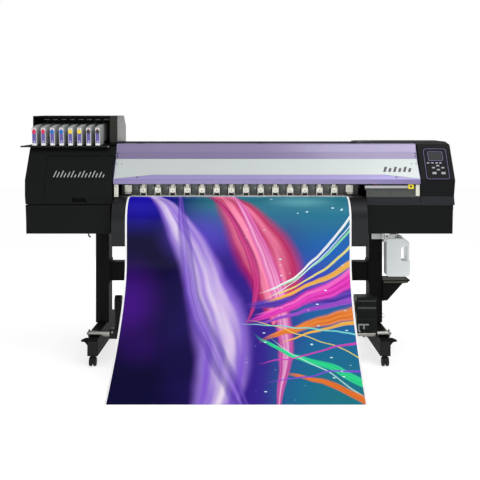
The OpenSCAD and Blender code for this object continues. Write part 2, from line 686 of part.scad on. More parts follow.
bottle_x = [900, 1047];
bottle_y = [-108, -12];
bottle_z = [482, 720];
neck = [955, -60];
neck_r = 18;
module bottle_bracket() {
    color([0.85, 0.86, 0.86]) placed() {
        block([outer_face(1), outer_face(1) + 3], [-100, 20], [690, 745]);
        difference() {
            block([outer_face(1), 1000], [-100, -10], [bottle_z[1] + 5.6, bottle_z[1] + 9]);
            post(neck[0], neck[1], [700, 740], neck_r + gap);
            block([neck[0] - neck_r - gap, neck[0] + neck_r + gap], [-101, neck[1]], [700, 740]);
        }
        block([side_x(1) - 26, outer_face(1) + 3], [-40, -37], [705, 741]);
    }
}
module waste_bottle() {
    x = bottle_x;
    z = bottle_z;
    color([0.79, 0.83, 0.84]) placed() {
        difference() {
            plate_y(bottle_y, [[x[0] + 10, z[0]], [x[0], z[0] + 12], [x[0], z[1] - 8], [x[0] + 8, z[1]],
                [x[1] - 40, z[1]], [x[1] - 6, z[1] - 30], [x[1] - 6, z[0] + 108], [x[1], z[0] + 96],
                [x[1], z[0] + 12], [x[1] - 10, z[0]]]);
            plate_y([bottle_y[0] - 1, bottle_y[1] + 1], [[990, 584], [990, 652], [1004, 668], [1026, 672],
                [1026, 579]]);
        }
        post(neck[0], neck[1], [z[1] - 1, z[1] + 12], neck_r);
        post(neck[0], neck[1], [z[1] + 9.4, z[1] + 22], 26);
    }
}

// ---- control panel ----
module key_solid(i, grow, z) {
    p = key_places[i];
    s = key_sizes[i] + [grow, grow];
    translate([p[0] - s[0], -p[1] - s[1], z[0]]) cube([2 * s[0], 2 * s[1], z[1] - z[0]]);
}
module control_panel() {
    color([0.13, 0.13, 0.14]) placed() on_slope() difference() {
        linear_extrude(panel_h) polygon([[panel_x[0], -panel_t[1]], [panel_x[0], -panel_t[0] - 14],
            [panel_x[0] + 14, -panel_t[0]], [panel_x[1], -panel_t[0]], [panel_x[1], -panel_t[1]]]);
        for (i = [0 : len(key_places) - 1]) key_solid(i, gap, [-1, panel_h + 1]);
        translate([1114, -110, panel_h - 1]) cube([77, 52, 2]);
    }
}
module key(i) { color([0.45, 0.46, 0.48]) placed() on_slope() key_solid(i, 0, [1.4, panel_h + 1.2]); }

// ---- the parts ----
left_leg();
right_leg();
stand_beam();
chassis();
platen();
front_guide();
left_casing();
right_casing();
left_skirt();
right_skirt();
roof();
rear_cover();
ink_bay();
guide_rail();
control_panel();
tool_tray();
bottle_bracket();
take_up_frame();
take_up_drive();
supply_brackets();
media_web();
capping_station();
cover_frame();
cover_panel();
left_door();
carriage();
cutter();
feed_roller();
pinch_arms();
pinch_rollers();
clamp_lever();
take_up_core();
supply_roll();
waste_bottle();
for (i = [0 : 7]) cartridge(i);
for (i = [0 : 3]) caster_fork(i);
for (i = [0 : 3]) caster_wheels(i);
for (i = [0 : len(KEYS) - 1]) key(i);
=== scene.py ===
"""Looks of the wide-format roll printer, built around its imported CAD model."""
from math import atan2, ceil, cos, pi, radians, sin, sqrt, tan

import bmesh
import bpy
from mathutils import Matrix, Vector


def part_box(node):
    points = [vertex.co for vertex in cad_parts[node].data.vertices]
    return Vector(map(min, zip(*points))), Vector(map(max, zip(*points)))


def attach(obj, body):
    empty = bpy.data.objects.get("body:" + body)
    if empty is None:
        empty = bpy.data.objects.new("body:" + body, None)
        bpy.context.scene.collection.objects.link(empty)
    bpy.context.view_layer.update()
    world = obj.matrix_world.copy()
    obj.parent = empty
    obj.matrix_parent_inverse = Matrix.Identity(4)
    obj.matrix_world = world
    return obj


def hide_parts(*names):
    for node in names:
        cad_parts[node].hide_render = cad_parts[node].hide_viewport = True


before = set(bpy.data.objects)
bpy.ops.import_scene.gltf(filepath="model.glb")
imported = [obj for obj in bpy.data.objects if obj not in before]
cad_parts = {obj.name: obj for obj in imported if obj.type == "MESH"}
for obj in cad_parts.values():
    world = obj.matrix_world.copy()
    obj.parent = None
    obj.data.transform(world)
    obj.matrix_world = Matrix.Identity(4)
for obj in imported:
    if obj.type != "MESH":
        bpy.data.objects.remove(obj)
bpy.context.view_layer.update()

# -------- places
# The machine's own origin: middle of the feet front to back, centre line of the stand, floor.
# Every solid below is drawn in millimetres from there.
MM = 0.001
FOOT_LOW, FOOT_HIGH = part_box("left_leg")
ORIGIN = Vector((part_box("right_casing")[1].x - 1251 * MM, (FOOT_LOW.y + FOOT_HIGH.y) / 2, 0))
MACHINE = Matrix.Translation(ORIGIN) @ Matrix.Scale(MM, 4)
FACING = Matrix.Rotation(radians(90), 4, "X")      # local X across, Y up, Z towards the front


def shift(x, y, z):
    return Matrix.Translation((x, y, z))


def front(y):
    """Drawing plane that faces the front at depth y: across, up, out."""
    return shift(0, y, 0) @ FACING


def incline(low, high):
    """Drawing plane on a sloping front between two (depth, height) points: across, up the slope, out."""
    rise = atan2(high[1] - low[1], high[0] - low[0])
    return shift(0, *low) @ Matrix.Rotation(rise, 4, "X")


# -------- materials
def linear(rgb):
    """0-255 display colour to linear light."""
    out = []
    for c in rgb:
        c /= 255
        out.append(c / 12.92 if c <= 0.04045 else ((c + 0.055) / 1.055) ** 2.4)
    return (*out, 1.0)


class Nodes:
    """Adds and links the nodes of one material."""

    def __init__(self, name):
        self.material = bpy.data.materials.new(name)
        self.material.use_nodes = True
        self.tree = self.material.node_tree
        self.bsdf = self.tree.nodes["Principled BSDF"]

    def node(self, kind, **values):
        made = self.tree.nodes.new("ShaderNode" + kind)
        for key, value in values.items():
            if key in made.inputs:
                self.set(made.inputs[key], value)
            else:
                setattr(made, key, value)
        return made

    def set(self, socket, value):
        if isinstance(value, bpy.types.NodeSocket):
            self.tree.links.new(value, socket)
        else:
            socket.default_value = value

    def finish(self, name, value):
        self.set(self.bsdf.inputs[name], value)

    def mix(self, a, b, factor):
        """A blend of two 0-255 colours, linear colours or sockets."""
        made = self.node("Mix", data_type="RGBA")
        for slot, value in ((6, a), (7, b), (0, factor)):
            display = isinstance(value, tuple) and len(value) == 3
            self.set(made.inputs[slot], linear(value) if display else value)
        return made.outputs[2]


def surface(name, rgb, rough=0.45, metal=0.0, grain=900, bump=0.05, vary=0.08, coat=0.0, scratch=0.0,
            spec=0.5, milk=0.0, rings=None):
    """A painted, moulded or metal surface: uneven colour, uneven gloss and a fine grain."""
    n = Nodes(name)
    where = n.node("TexCoord").outputs["Object"]
    fine = n.node("TexNoise", Vector=where, Scale=grain, Detail=3).outputs["Fac"]
    broad = n.node("TexNoise", Vector=where, Scale=5, Detail=4).outputs["Fac"]
    base = linear(rgb)
    ends = [(*[min(1, c * k) for c in base[:3]], 1) for k in (1 - vary, 1 + vary)]
    tone = n.mix(*ends, broad)
    if rings:
        turned = n.node("Mapping", Vector=where, Location=rings)
        wound = n.node("TexWave", wave_type="RINGS", rings_direction="X", Vector=turned.outputs[0],
                       Scale=160, Distortion=0.6, Detail=1).outputs["Fac"]
        tone = n.mix(tone, (176, 172, 164), n.node("MapRange", Value=wound, **{"To Max": 0.45}).outputs[0])
    n.finish("Base Color", tone)
    gloss = n.node("MapRange", Value=fine,
                   **{"To Min": max(0.02, rough - 0.06), "To Max": min(1, rough + 0.06)})
    n.finish("Roughness", gloss.outputs[0])
    height = fine
    if scratch:
        drawn = n.node("Mapping", Vector=where, Scale=(scratch, 40, 40))
        height = n.node("TexNoise", Vector=drawn.outputs[0], Scale=60).outputs["Fac"]
    relief = n.node("Bump", Height=height, Strength=bump, Distance=0.0004)
    n.finish("Normal", relief.outputs[0])
    for key, value in (("Metallic", metal), ("Coat Weight", coat), ("Coat Roughness", 0.18),
                       ("Specular IOR Level", spec), ("Subsurface Weight", milk), ("Subsurface Scale", 0.03),
                       ("Subsurface Radius", (1, 1, 1))):
        n.finish(key, value)
    return n.material


def look(*values, **more):
    """The settings of one surface, kept until it is made."""
    return values, more


ROLL_AXIS = MACHINE @ Vector((0, 300, 640))
DARK = {"bump": 0.2, "grain": 1200, "spec": 0.06}
LOOKS = dict(
    stand=look((21, 21, 21), 0.62, bump=0.25, grain=700, spec=0.04),
    plate=look((80, 82, 84), 0.4, metal=0.6, scratch=2),
    platen=look((78, 79, 83), metal=0.2),
    guide=look((30, 31, 33), 0.4, spec=0.14),
    black=look((19, 21, 20), **DARK),
    charcoal=look((22, 23, 24), **DARK),
    # a lighter copy of the black cover plastic for the lips and rear vent slats: painted highlight along their
    # edges
    lip=look((42, 43, 47), 0.42, **DARK),
    roof=look((30, 29, 32), **DARK),
    bay=look((22, 22, 21), **DARK),
    # a lighter copy of the bay's black for its right end: painted light on the side that faces the light
    bay_side_painted_light=look((50, 49, 46), **DARK),
    dark=look((17, 17, 18), 0.55, spec=0.2),
    # near-black for black screws, and painted shade in recesses, gaps and behind openings
    black_and_painted_shade=look((8, 8, 8), 0.7, spec=0.1),
    aluminium=look((175, 177, 180), 0.3, metal=1.0, scratch=1),
    white_metal=look((205, 208, 207), 0.4),
    chrome=look((142, 140, 136), 0.26, metal=1.0, bump=0.01),
    inner=look((62, 63, 64), 0.5, spec=0.3),
    inner_plate=look((74, 78, 75), 0.5, vary=0.2, spec=0.2),
    # the violet paint and three lighter and darker copies of it, one for each slope of the front cover: painted
    # light and shade
    violet=look((113, 101, 142), 0.34, metal=0.2, coat=0.8, bump=0.02),
    violet_painted_shade=look((108, 96, 137), 0.36, metal=0.2, coat=0.6, bump=0.02),
    violet_painted_light=look((140, 130, 182), 0.34, metal=0.2, coat=0.3, bump=0.02),
    violet_lip_painted_shade=look((122, 110, 156), 0.38, metal=0.2, coat=0.2, bump=0.02),
    silver=look((184, 191, 190), 0.38, metal=0.2, coat=0.1, bump=0.02, vary=0.03),
    cream=look((208, 207, 194), 0.5),
    red=look((150, 30, 32), 0.3, coat=0.4),
    rubber=look((20, 20, 21), 0.7, bump=0.3, spec=0.25),
    nylon=look((20, 20, 21), spec=0.3),
    card=look((190, 164, 124), 0.8, vary=0.15, bump=0.3, grain=300),
    roll=look((226, 226, 224), 0.5, vary=0.02, bump=0.02,
                    rings=(0, -ROLL_AXIS.y, -ROLL_AXIS.z)),
    film=look((236, 236, 238), 0.35, vary=0.01, bump=0.02),
    bottle=look((226, 232, 232), 0.42, vary=0.03, bump=0.03, milk=0.35),
    cartridge=look((178, 182, 181)),
    key=look((150, 152, 160)),
    screw=look((36, 33, 46), 0.35, metal=0.3, spec=0.2),
    screw_grey=look((120, 122, 124), 0.3, metal=0.9),
    white=look((228, 228, 230), 0.5, vary=0.02),
    label_violet=look((92, 78, 158), vary=0.2, grain=400, bump=0.02),
    ink_red=look((206, 30, 84), 0.4, vary=0.03),
    ink_blue=look((0, 100, 190), 0.4, vary=0.03),
    ink_yellow=look((236, 204, 10), 0.4, vary=0.03),
    ink_black=look((22, 20, 26), 0.4, vary=0.03),
    yellow=look((222, 200, 20)),
    light_bar=look((168, 168, 169), 0.4, metal=0.2),
    badge=look((170, 172, 174), 0.4, metal=0.3),
    # a lighter grey for the top of the tool tray
    tray_top_grey=look((84, 81, 72), 0.7, bump=0.3, spec=0.2),
    mark=look((62, 54, 66), 0.4),
    glass=look((34, 38, 39), 0.25, spec=0.1, bump=0.0),
    rim=look((74, 68, 104), 0.3, metal=0.4, bump=0.01),
    panel=look((15, 15, 19), 0.4, spec=0.07, bump=0.1),
)
PAINT = {key: surface(f"{key}_finish", *values, **more) for key, (values, more) in LOOKS.items()}


# -------- mesh building
def clean(part, near):
    bmesh.ops.remove_doubles(part, verts=part.verts, dist=near)
    bmesh.ops.recalc_face_normals(part, faces=part.faces)


def soften(part, width, segments, angle):
    """Bevels the edges sharper than an angle in radians."""
    edges = [e for e in part.edges if len(e.link_faces) == 2 and e.calc_face_angle(0) > angle]
    bmesh.ops.bevel(part, geom=edges, offset=width, segments=segments, profile=0.5, affect="EDGES",
                    clamp_overlap=True)


class Shape:
    """Collects solids with their own materials and rounded edges, then makes one piece of them."""

    def __init__(self, local=Matrix()):
        self.mesh = bmesh.new()
        self.materials = []
        self.local = local

    def index(self, key):
        if key not in self.materials:
            self.materials.append(key)
        return self.materials.index(key)

    def absorb(self, part, key, local=None):
        """Takes in a finished solid; key is a material's name or a function of a face's middle."""
        for f in part.faces:
            f.material_index = self.index(key if isinstance(key, str) else key(f.calc_center_median()))
        matrix = MACHINE @ (self.local if local is None else local)
        bmesh.ops.transform(part, matrix=matrix, verts=part.verts)
        temp = bpy.data.meshes.new("part")
        part.to_mesh(temp)
        part.free()
        self.mesh.from_mesh(temp)
        bpy.data.meshes.remove(temp)

    def add(self, verts, faces, key, bevel=0.0, segments=2, local=None):
        part = bmesh.new()
        made = [part.verts.new(v) for v in verts]
        for f in faces:
            part.faces.new([made[i] for i in f])
        clean(part, 0.001)
        if bevel:
            soften(part, bevel, segments, 0.3)
        self.absorb(part, key, local)

    def box(self, x, y, z, key, bevel=1.0, segments=2, local=None):
        pts = [(a, b, c) for c in z for b in y for a in x]
        faces = [(0, 1, 3, 2), (4, 5, 7, 6), (0, 1, 5, 4), (2, 3, 7, 6), (0, 2, 6, 4), (1, 3, 7, 5)]
        self.add(pts, faces, key, bevel, segments, local)

    def prism(self, axis, span, outline, key, bevel=1.0, segments=2, local=None):
        """An outline of the other two coordinates, extruded along axis (0, 1 or 2)."""
        rings = []
        for e in span:
            ring = []
            for p in outline:
                v = list(p)
                v.insert(axis, e)
                ring.append(v)
            rings.append(ring)
        n = len(outline)
        faces = [tuple(range(n)), tuple(range(n, 2 * n))]
        faces += [(i, (i + 1) % n, n + (i + 1) % n, n + i) for i in range(n)]
        self.add(rings[0] + rings[1], faces, key, bevel, segments, local)

    def lathe(self, centre, axis, profile, key, steps=48, local=None):
        """A (radius, distance) profile turned round an axis through centre; radius 0 closes it."""
        spin = Vector(axis).to_track_quat("Z", "Y").to_matrix()
        centre = Vector(centre)
        verts, rows = [], []
        for r, h in profile:
            count = steps if r > 0 else 1
            rows.append(list(range(len(verts), len(verts) + count)))
            for i in range(count):
                a = 2 * pi * i / steps
                verts.append(centre + spin @ Vector((r * cos(a), r * sin(a), h)))
        faces = []
        for a, b in zip(rows, rows[1:]):
            for i in range(steps):
                j = (i + 1) % steps
                quad = [a[i % len(a)], a[j % len(a)], b[j % len(b)], b[i % len(b)]]
                face = tuple(dict.fromkeys(quad))
                if len(face) > 2:
                    faces.append(face)
        self.add(verts, faces, key, local=local)

    def disc(self, centre, axis, r, h, key, edge=0.8, steps=32, local=None):
        """A short cylinder with rounded edges, from centre along axis."""
        e = min(edge, r / 2, h / 2)
        low = [(r - e + e * sin(a), e - e * cos(a)) for a in (0, 0.52, 1.05, 1.57)]
        high = [(p[0], h - p[1]) for p in reversed(low)]
        self.lathe(centre, axis, [(0, 0), *low, *high, (0, h)], key, steps, local)

    def stud(self, x, y, z, r, h=1.6, key="screw_grey", edge=0.5, steps=16, local=None):
        """A small disc that faces the front."""
        self.disc((x, y, z), (0, -1, 0), r, h, key, edge, steps, local)

    def tube(self, path, r, key, sides=12, local=None):
        """A round wire along a path of points."""
        path = [Vector(p) for p in path]
        verts, faces = [], []
        for i, p in enumerate(path):
            ahead = path[min(i + 1, len(path) - 1)] - path[max(i - 1, 0)]
            spin = ahead.to_track_quat("Z", "Y").to_matrix()
            for k in range(sides):
                a = 2 * pi * k / sides
                verts.append(p + spin @ Vector((r * cos(a), r * sin(a), 0)))
        for i in range(len(path) - 1):
            for k in range(sides):
                m = (k + 1) % sides
                faces.append((i * sides + k, i * sides + m, (i + 1) * sides + m, (i + 1) * sides + k))
        faces += [tuple(range(sides)), tuple(range(len(verts) - sides, len(verts)))]
        self.add(verts, faces, key, local=local)

    def plaque(self, loops, span, key, soft=1.0, local=None):
        """Flat outlines, the later ones holes, raised along Z over span with rounded edges."""
        curve = bpy.data.curves.new("outline", "CURVE")
        curve.dimensions = "2D"
        curve.fill_mode = "BOTH"
        curve.offset = -soft
        curve.bevel_depth = soft
        curve.bevel_resolution = 2
        curve.extrude = (span[1] - span[0]) / 2 - soft
        for loop in loops:
            spline = curve.splines.new("POLY")
            spline.points.add(len(loop) - 1)
            spline.use_cyclic_u = True
            for point, p in zip(spline.points, loop):
                point.co = (*p, 0, 1)
        maker = bpy.data.objects.new("outline", curve)
        mesh = bpy.data.meshes.new_from_object(maker)
        part = bmesh.new()
        part.from_mesh(mesh)
        bpy.data.objects.remove(maker)
        bpy.data.curves.remove(curve)
        bpy.data.meshes.remove(mesh)
        clean(part, 0.005)
        bmesh.ops.translate(part, vec=(0, 0, (span[0] + span[1]) / 2), verts=part.verts)
        self.absorb(part, key, local)

    def shell(self, xs, outline, key, wall=4, soft=4, caps=(True, True), skip=None, corner=0):
        """A moulded cover: a (depth, height) outline swept along xs, with ends, round corners and a wall."""
        part = bmesh.new()
        left = [0.0]
        for a, b in zip(outline[::-1], outline[-2::-1]):
            left.insert(0, left[0] + (Vector(a) - Vector(b)).length)
        grid = []
        for (y, z), s in zip(outline, left):
            pull = corner - sqrt(max(0, corner ** 2 - (corner - s) ** 2)) if s < corner else 0
            row = [xs[0] + pull, *xs[1:-1], xs[-1] - pull]
            grid.append([part.verts.new((x, y, z)) for x in row])
        for a, b in zip(grid, grid[1:]):
            for j in range(len(xs) - 1):
                corners = [a[j], a[j + 1], b[j + 1], b[j]]
                middle = sum((v.co for v in corners), Vector()) / 4
                if not (skip and skip(*middle)):
                    part.faces.new(corners)
        if caps[0]:
            part.faces.new([row[0] for row in grid])
        if caps[1]:
            part.faces.new([row[-1] for row in reversed(grid)])
        bmesh.ops.delete(part, geom=[v for v in part.verts if not v.link_faces], context="VERTS")
        if soft:
            soften(part, soft, 4, 0.9)
        bmesh.ops.solidify(part, geom=part.faces[:], thickness=wall)
        self.absorb(part, key)

    def make(self, name, body, slot=None, replaces=(), sharp=32):
        data = bpy.data.meshes.new(name)
        self.mesh.to_mesh(data)
        self.mesh.free()
        for key in self.materials:
            data.materials.append(PAINT[key])
        return settle(name, data, body, replaces, sharp)


def place(name, data):
    """A new object in the scene."""
    made = bpy.data.objects.new(name, data)
    bpy.context.scene.collection.objects.link(made)
    return made


def smooth(data):
    for f in data.polygons:
        f.use_smooth = True


def settle(name, data, body, replaces=(), sharp=32):
    """Puts a finished mesh in the scene, riding on a body."""
    smooth(data)
    data.set_sharp_from_angle(angle=radians(sharp))
    piece = place(name, data)
    piece.modifiers.new("normals", "WEIGHTED_NORMAL").keep_sharp = True
    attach(piece, body)
    if replaces:
        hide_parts(*replaces)
    return piece


def fillet(points, radii, steps=5, closed=False):
    """An outline with its corners rounded: one radius for each point, 0 keeps it sharp."""
    out, n = [], len(points)
    for i, p in enumerate(points):
        r = radii[i] if isinstance(radii, (list, tuple)) else radii
        p = Vector(p)
        if r <= 0 or (not closed and i in (0, n - 1)):
            out.append(tuple(p))
            continue
        a, b = Vector(points[i - 1]) - p, Vector(points[(i + 1) % n]) - p
        half = a.angle(b) / 2
        reach = min(r / tan(half), a.length * 0.49, b.length * 0.49)
        start, end = p + a.normalized() * reach, p + b.normalized() * reach
        for k in range(steps + 1):
            t = k / steps
            out.append(tuple((1 - t) ** 2 * start + 2 * t * (1 - t) * p + t ** 2 * end))
    return out


def rounded(x, y, r, steps=5):
    """A rectangle's outline with round corners."""
    return fillet([(x[0], y[0]), (x[1], y[0]), (x[1], y[1]), (x[0], y[1])], r, steps, closed=True)


def arc(cx, cy, r, start, end, steps):
    """Points on a circle between two angles in degrees."""
    turns = [radians(start + (end - start) * i / steps) for i in range(steps + 1)]
    return [(cx + r * cos(a), cy + r * sin(a)) for a in turns]


def about(middle, half):
    return middle - half, middle + half


def subdivided(outline, longest):
    """The outline with points added so that no step is longer than longest."""
    out = [outline[0]]
    for a, b in zip(outline, outline[1:]):
        a, b = Vector(a), Vector(b)
        n = max(1, ceil((b - a).length / longest))
        out += [tuple(a.lerp(b, k / n)) for k in range(1, n + 1)]
    return out


# -------- CAD nodes that stay
def dress(node, key, width=1.2, segments=2, angle=30):
    """Gives a CAD node its finish and softened edges."""
    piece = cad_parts[node]
    data = piece.data
    data.materials.clear()
    data.materials.append(PAINT[key])
    if "custom_normal" in data.attributes:
        data.attributes.remove(data.attributes["custom_normal"])
    smooth(data)
    piece.modifiers.new("weld", "WELD").merge_threshold = 0.00002
    if width:
        bevel = piece.modifiers.new("bevel", "BEVEL")
        bevel.width = width * MM
        bevel.segments = segments
        bevel.limit_method = "ANGLE"
        bevel.angle_limit = radians(angle)
    piece.modifiers.new("normals", "WEIGHTED_NORMAL").keep_sharp = True


PAINTED = {
    "stand": "left_leg right_leg stand_beam tool_tray", "plate": "chassis", "platen": "platen",
    "guide": "front_guide", "roof": "roof", "black": "rear_cover take_up_drive",
    "aluminium": "guide_rail feed_roller", "white_metal": "bottle_bracket",
    "inner": "capping_station carriage clamp_lever", "silver": "cover_panel", "red": "cutter",
    "rubber": "pinch_rollers", "card": "take_up_core", "roll": "supply_roll", "bay": "ink_bay",
}
NODE_BEVEL = {"cover_panel": 0.8, "ink_bay": 2.0, "left_leg": 1.6, "right_leg": 1.6, "take_up_drive": 3.0,
              "tool_tray": 1.0, "feed_roller": 0.4, "pinch_rollers": 0.4}
for paint_key, members in PAINTED.items():
    for member in members.split():
        dress(member, paint_key, NODE_BEVEL.get(member, 1.2))
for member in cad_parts:
    if member.startswith("caster_fork"):
        dress(member, "nylon")
    elif member.startswith("caster_wheels"):
        dress(member, "rubber", 1.5, 3)
    elif "_key" in member:
        dress(member, "key", 0.9, 3)

# -------- covers
REAR = 235
CASING = [(-345, 944), (-358, 991), (-358, 1086), (-247, 1278), (-60, 1303), (REAR, 1306), (REAR, 944)]
RIGHT = [(-346, 940), (-333, 990), (-357, 1084), (-237, 1294), (-150, 1312), (91, 1323), (REAR, 1323),
         (REAR, 940)]
RIGHT_TOP = [(-192, 1296), (-190, 1305), (-150, 1312), (91, 1323), (REAR, 1323), (REAR, 940)]
COVER = [(-348, 1062), (-348, 1088), (-264, 1207), (-244, 1250), (-218, 1298), (-206, 1301)]
DOOR_X = (-1134, -742)
DOOR_TOP = 1222
LEFT_X = (-1250, -738)
COVER_X = (-737, 1050)
COVER_HINGE = (-203, 1302)
DOOR_HINGE = (-276.2, 1223.5)


def cut_at(outline, height):
    """The outline with a point added where its front rises through a height."""
    out = []
    for a, b in zip(outline, outline[1:]):
        out.append(a)
        if a[1] < height < b[1]:
            t = (height - a[1]) / (b[1] - a[1])
            out.append((a[0] + t * (b[0] - a[0]), height))
    return [*out, outline[-1]]


def hinge(shape, axis, places, r, key, knuckles):
    """Barrels of a pinned hinge along X: the moving knuckles, or the fixed lug and its pin."""
    for x in places:
        if knuckles:
            for side in (-1, 1):
                shape.disc((x + side * 16.2 - 5.8, *axis), (1, 0, 0), r, 11.6, key, 0.3)
        else:
            shape.disc((x - 10, *axis), (1, 0, 0), r, 20, key, 0.3)
            shape.disc((x - 22.6, *axis), (1, 0, 0), r / 2 - 0.05, 45.2, "screw", 0.3)


def screws(shape, places, plane, key="screw", r=4.2):
    """Round-headed screws on a drawing plane; their cross recess is a thin near-black cross laid on the head:
    painted shade.
    """
    for x, y in places:
        dome = [(0, 0), (r, 0), (r, 0.5), (r * 0.85, 1.3), (r * 0.45, 1.75), (0, 1.85)]
        shape.lathe((x, y, 0), (0, 0, 1), dome, key, 20, local=plane)
        # the cross recess is a thin near-black cross laid on the head: painted shade
        for turn in (0, 90):
            cross = plane @ shift(x, y, 1.7) @ Matrix.Rotation(radians(turn + 20), 4, "Z")
            shape.box((-r * 0.5, r * 0.5), (-0.35, 0.35), (0, 0.35), "black_and_painted_shade", 0, local=cross)


def front_cover():
    radii = [0, 6, 9, 14, 12, 0]
    outline = subdivided(fillet(COVER, radii, 6), 40)
    top = [(p[0] + t * (q[0] - p[0]), p[1] + t * (q[1] - p[1]))
           for p, q in zip(outline[-4:-1], outline[-3:]) for t in (0, 0.33, 0.66)]
    outline = [*outline[:-4], *top, outline[-1]]
    # the cover's bands by height are lit and shaded copies of one violet paint: painted light and shade on its
    # slopes
    lit_and_shaded_bands = ((1250, "violet"), (1206, "violet_painted_shade"), (1089, "violet_painted_light"), (0, "violet_lip_painted_shade"))

    def paint(p):
        return next(key for low, key in lit_and_shaded_bands if p.z > low)

    s = Shape()
    s.shell([COVER_X[0], -400, 0, 400, 760, COVER_X[1]], outline, paint, 4, 0, (False, False), corner=16)
    # the end caps take the lip's darker copy of the violet: painted shade
    for x in COVER_X:
        inner = min(x, x + 3) if x < 0 else x - 3
        band = [*[(y + 1.5, z - 1.5) for y, z in COVER[:-1]],
                *[(y + 20, z - 12) for y, z in reversed(COVER[1:-1])], (-326, 1064)]
        s.prism(0, (inner, inner + 3), band, "violet_lip_painted_shade", 0.8)
    slope = incline((-264, 1207), (-244, 1250))
    screws(s, [(-727, 34), (-727, 14), (1041, 36), (1041, 18)], slope)
    hinge(s, COVER_HINGE, (-600, 120, 680), 3.8, "dark", True)
    s.make("front_cover", "front_cover", "violet", ["cover_frame"])

    # screws and a plain mark of slanted bars on the silver panel
    panel = incline((-348, 1088), (-264, 1207))
    s = Shape(panel @ shift(0, 0, 2))
    up = (1178 - 1088) / sin(atan2(119, 84))
    screws(s, [(-726, up), (-697, up), (1012, up), (1038, up)], s.local, "screw_grey", 3.6)
    for i in range(6):
        x, tall = 838 + 29 * i, 26 if i % 2 else 36
        bar = fillet([(x, 52), (x + 15, 52), (x + 15 + tall * 0.35, 52 + tall), (x + tall * 0.35, 52 + tall)],
                     2.5, 3, closed=True)
        s.plaque([bar], (-0.3, 1.2), "mark", 0.3)
    s.make("cover_mark", "front_cover")
    s = Shape()
    screws(s, [(-601, 16), (911, 16)], panel)
    s.make("cover_screws", "front_cover")


def left_covers():
    casing = fillet(CASING, [0, 8, 16, 14, 40, 8, 0], 6)
    outline = cut_at(casing, 1227)
    s = Shape()
    s.shell([LEFT_X[0], -1136, LEFT_X[1]], outline, "black", 4, 5, (True, False),
            lambda x, y, z: x > -1136 and y < -200 and z < 1227)
    hinge(s, DOOR_HINGE, (-1070, -806), 2.2, "black", False)
    slope = incline((-358, 1086), (-247, 1278))
    # a near-black strip inside the casing behind the door's top gap: painted shade
    s.box((-1141, -739), (145, 175), (-7, -5), "black_and_painted_shade", 0, local=slope)
    s.make("left_casing_cover", "frame", "cover_black", ["left_casing"])

    # the door, with its finger notch and a plain badge of slanted bars
    face = [p for p in cut_at(casing, DOOR_TOP)
            if p[0] < -250 and 945 <= p[1] <= DOOR_TOP]
    face = cut_at(cut_at([(-345.3, 945), *face], 958), 982)
    s = Shape()
    s.shell([DOOR_X[0], -975, -897, DOOR_X[1]], face, "black", 4, 0, (False, False),
            lambda x, y, z: -975 < x < -897 and 958 < z < 982)
    # near-black plates at the back and sides of the finger notch: painted shade in the notch
    s.box((-979, -893), (-336, -333), (954, 986), "black_and_painted_shade", 0.5)
    for x in ((-979, -974.5), (-897.5, -893)):
        s.box(x, (-352, -334), (954, 986), "black_and_painted_shade", 0.4)
    hinge(s, DOOR_HINGE, (-1070, -806), 2.2, "black", True)
    s.make("left_door_cover", "left_door", "cover_black", ["left_door"])
    badge = Shape(slope)
    x = -1088
    for tall in (44, 36, 44, 28, 36, 44, 20, 36, 44, 28, 36, 44, 28, 36, 20):
        lean = tall * 0.3
        bar = [(x, 17), (x + 6, 17), (x + 6 + lean, 17 + tall), (x + lean, 17 + tall)]
        badge.plaque([fillet(bar, 2, 3, closed=True)], (-0.3, 0.9), "badge", 0.3)
        x += 20.5
    badge.make("door_badge", "left_door")


def right_covers():
    outline = fillet(RIGHT, [0, 10, 22, 7, 12, 60, 12, 0], 6)
    s = Shape()
    # the casing's lower lip takes the lighter copy of the black: painted highlight
    s.shell([1052, 1251], outline, lambda p: "lip" if p.z < 989 else "charcoal", 4, 5)
    rear = fillet(RIGHT_TOP, [0, 2, 10, 60, 12, 0], 5)
    s.shell([731, 1052], rear, "roof", 4, 0, (False, False))
    s.make("right_casing_cover", "frame", "cover_grey", ["right_casing"])


def skirt(xs, bulge, top):
    """A lower cover with a slightly hollow front."""
    line = fillet([(-330, 771), (-334, 850), bulge, top], [0, 60, 60, 0], 8)
    s = Shape()
    s.shell(xs, [*line, (REAR, top[1]), (REAR, 771)], "black", 3, 5)
    return s


def lower_covers():
    s = skirt([-1250, -755], (-340, 905), (-345, 941))
    screws(s, [(-1232, 784), (-775, 784), (-1232, 921), (-775, 921)], front(-333), "black_and_painted_shade", 3.5)
    s.tube([(-890, -300, 772), (-890, -300, 760), (-886, -300, 752), (-878, -300, 748)], 4.5, "stand")
    s.make("left_skirt_cover", "frame", "cover_black", ["left_skirt"])
    s = skirt([738, 1243], (-338, 895), (-346, 937))
    lip = fillet([(-346, 938), (-335, 985), (-333, 1050)], [0, 12, 0], 6)
    # the lips below 988 take the lighter copy of the black: painted highlight
    s.shell([738, 1050], lip, lambda p: "lip" if p.z < 988 else "inner_plate", 4, 0, (False, False))
    s.shell([1050, 1243], fillet([(-346, 937.5), (-343, 950)], 0), "lip", 3, 0, (False, False))
    screws(s, [(752, 830), (1229, 830), (752, 908)], front(-333), "black_and_painted_shade", 3.5)
    s.make("right_skirt_cover", "frame", "cover_black", ["right_skirt"])


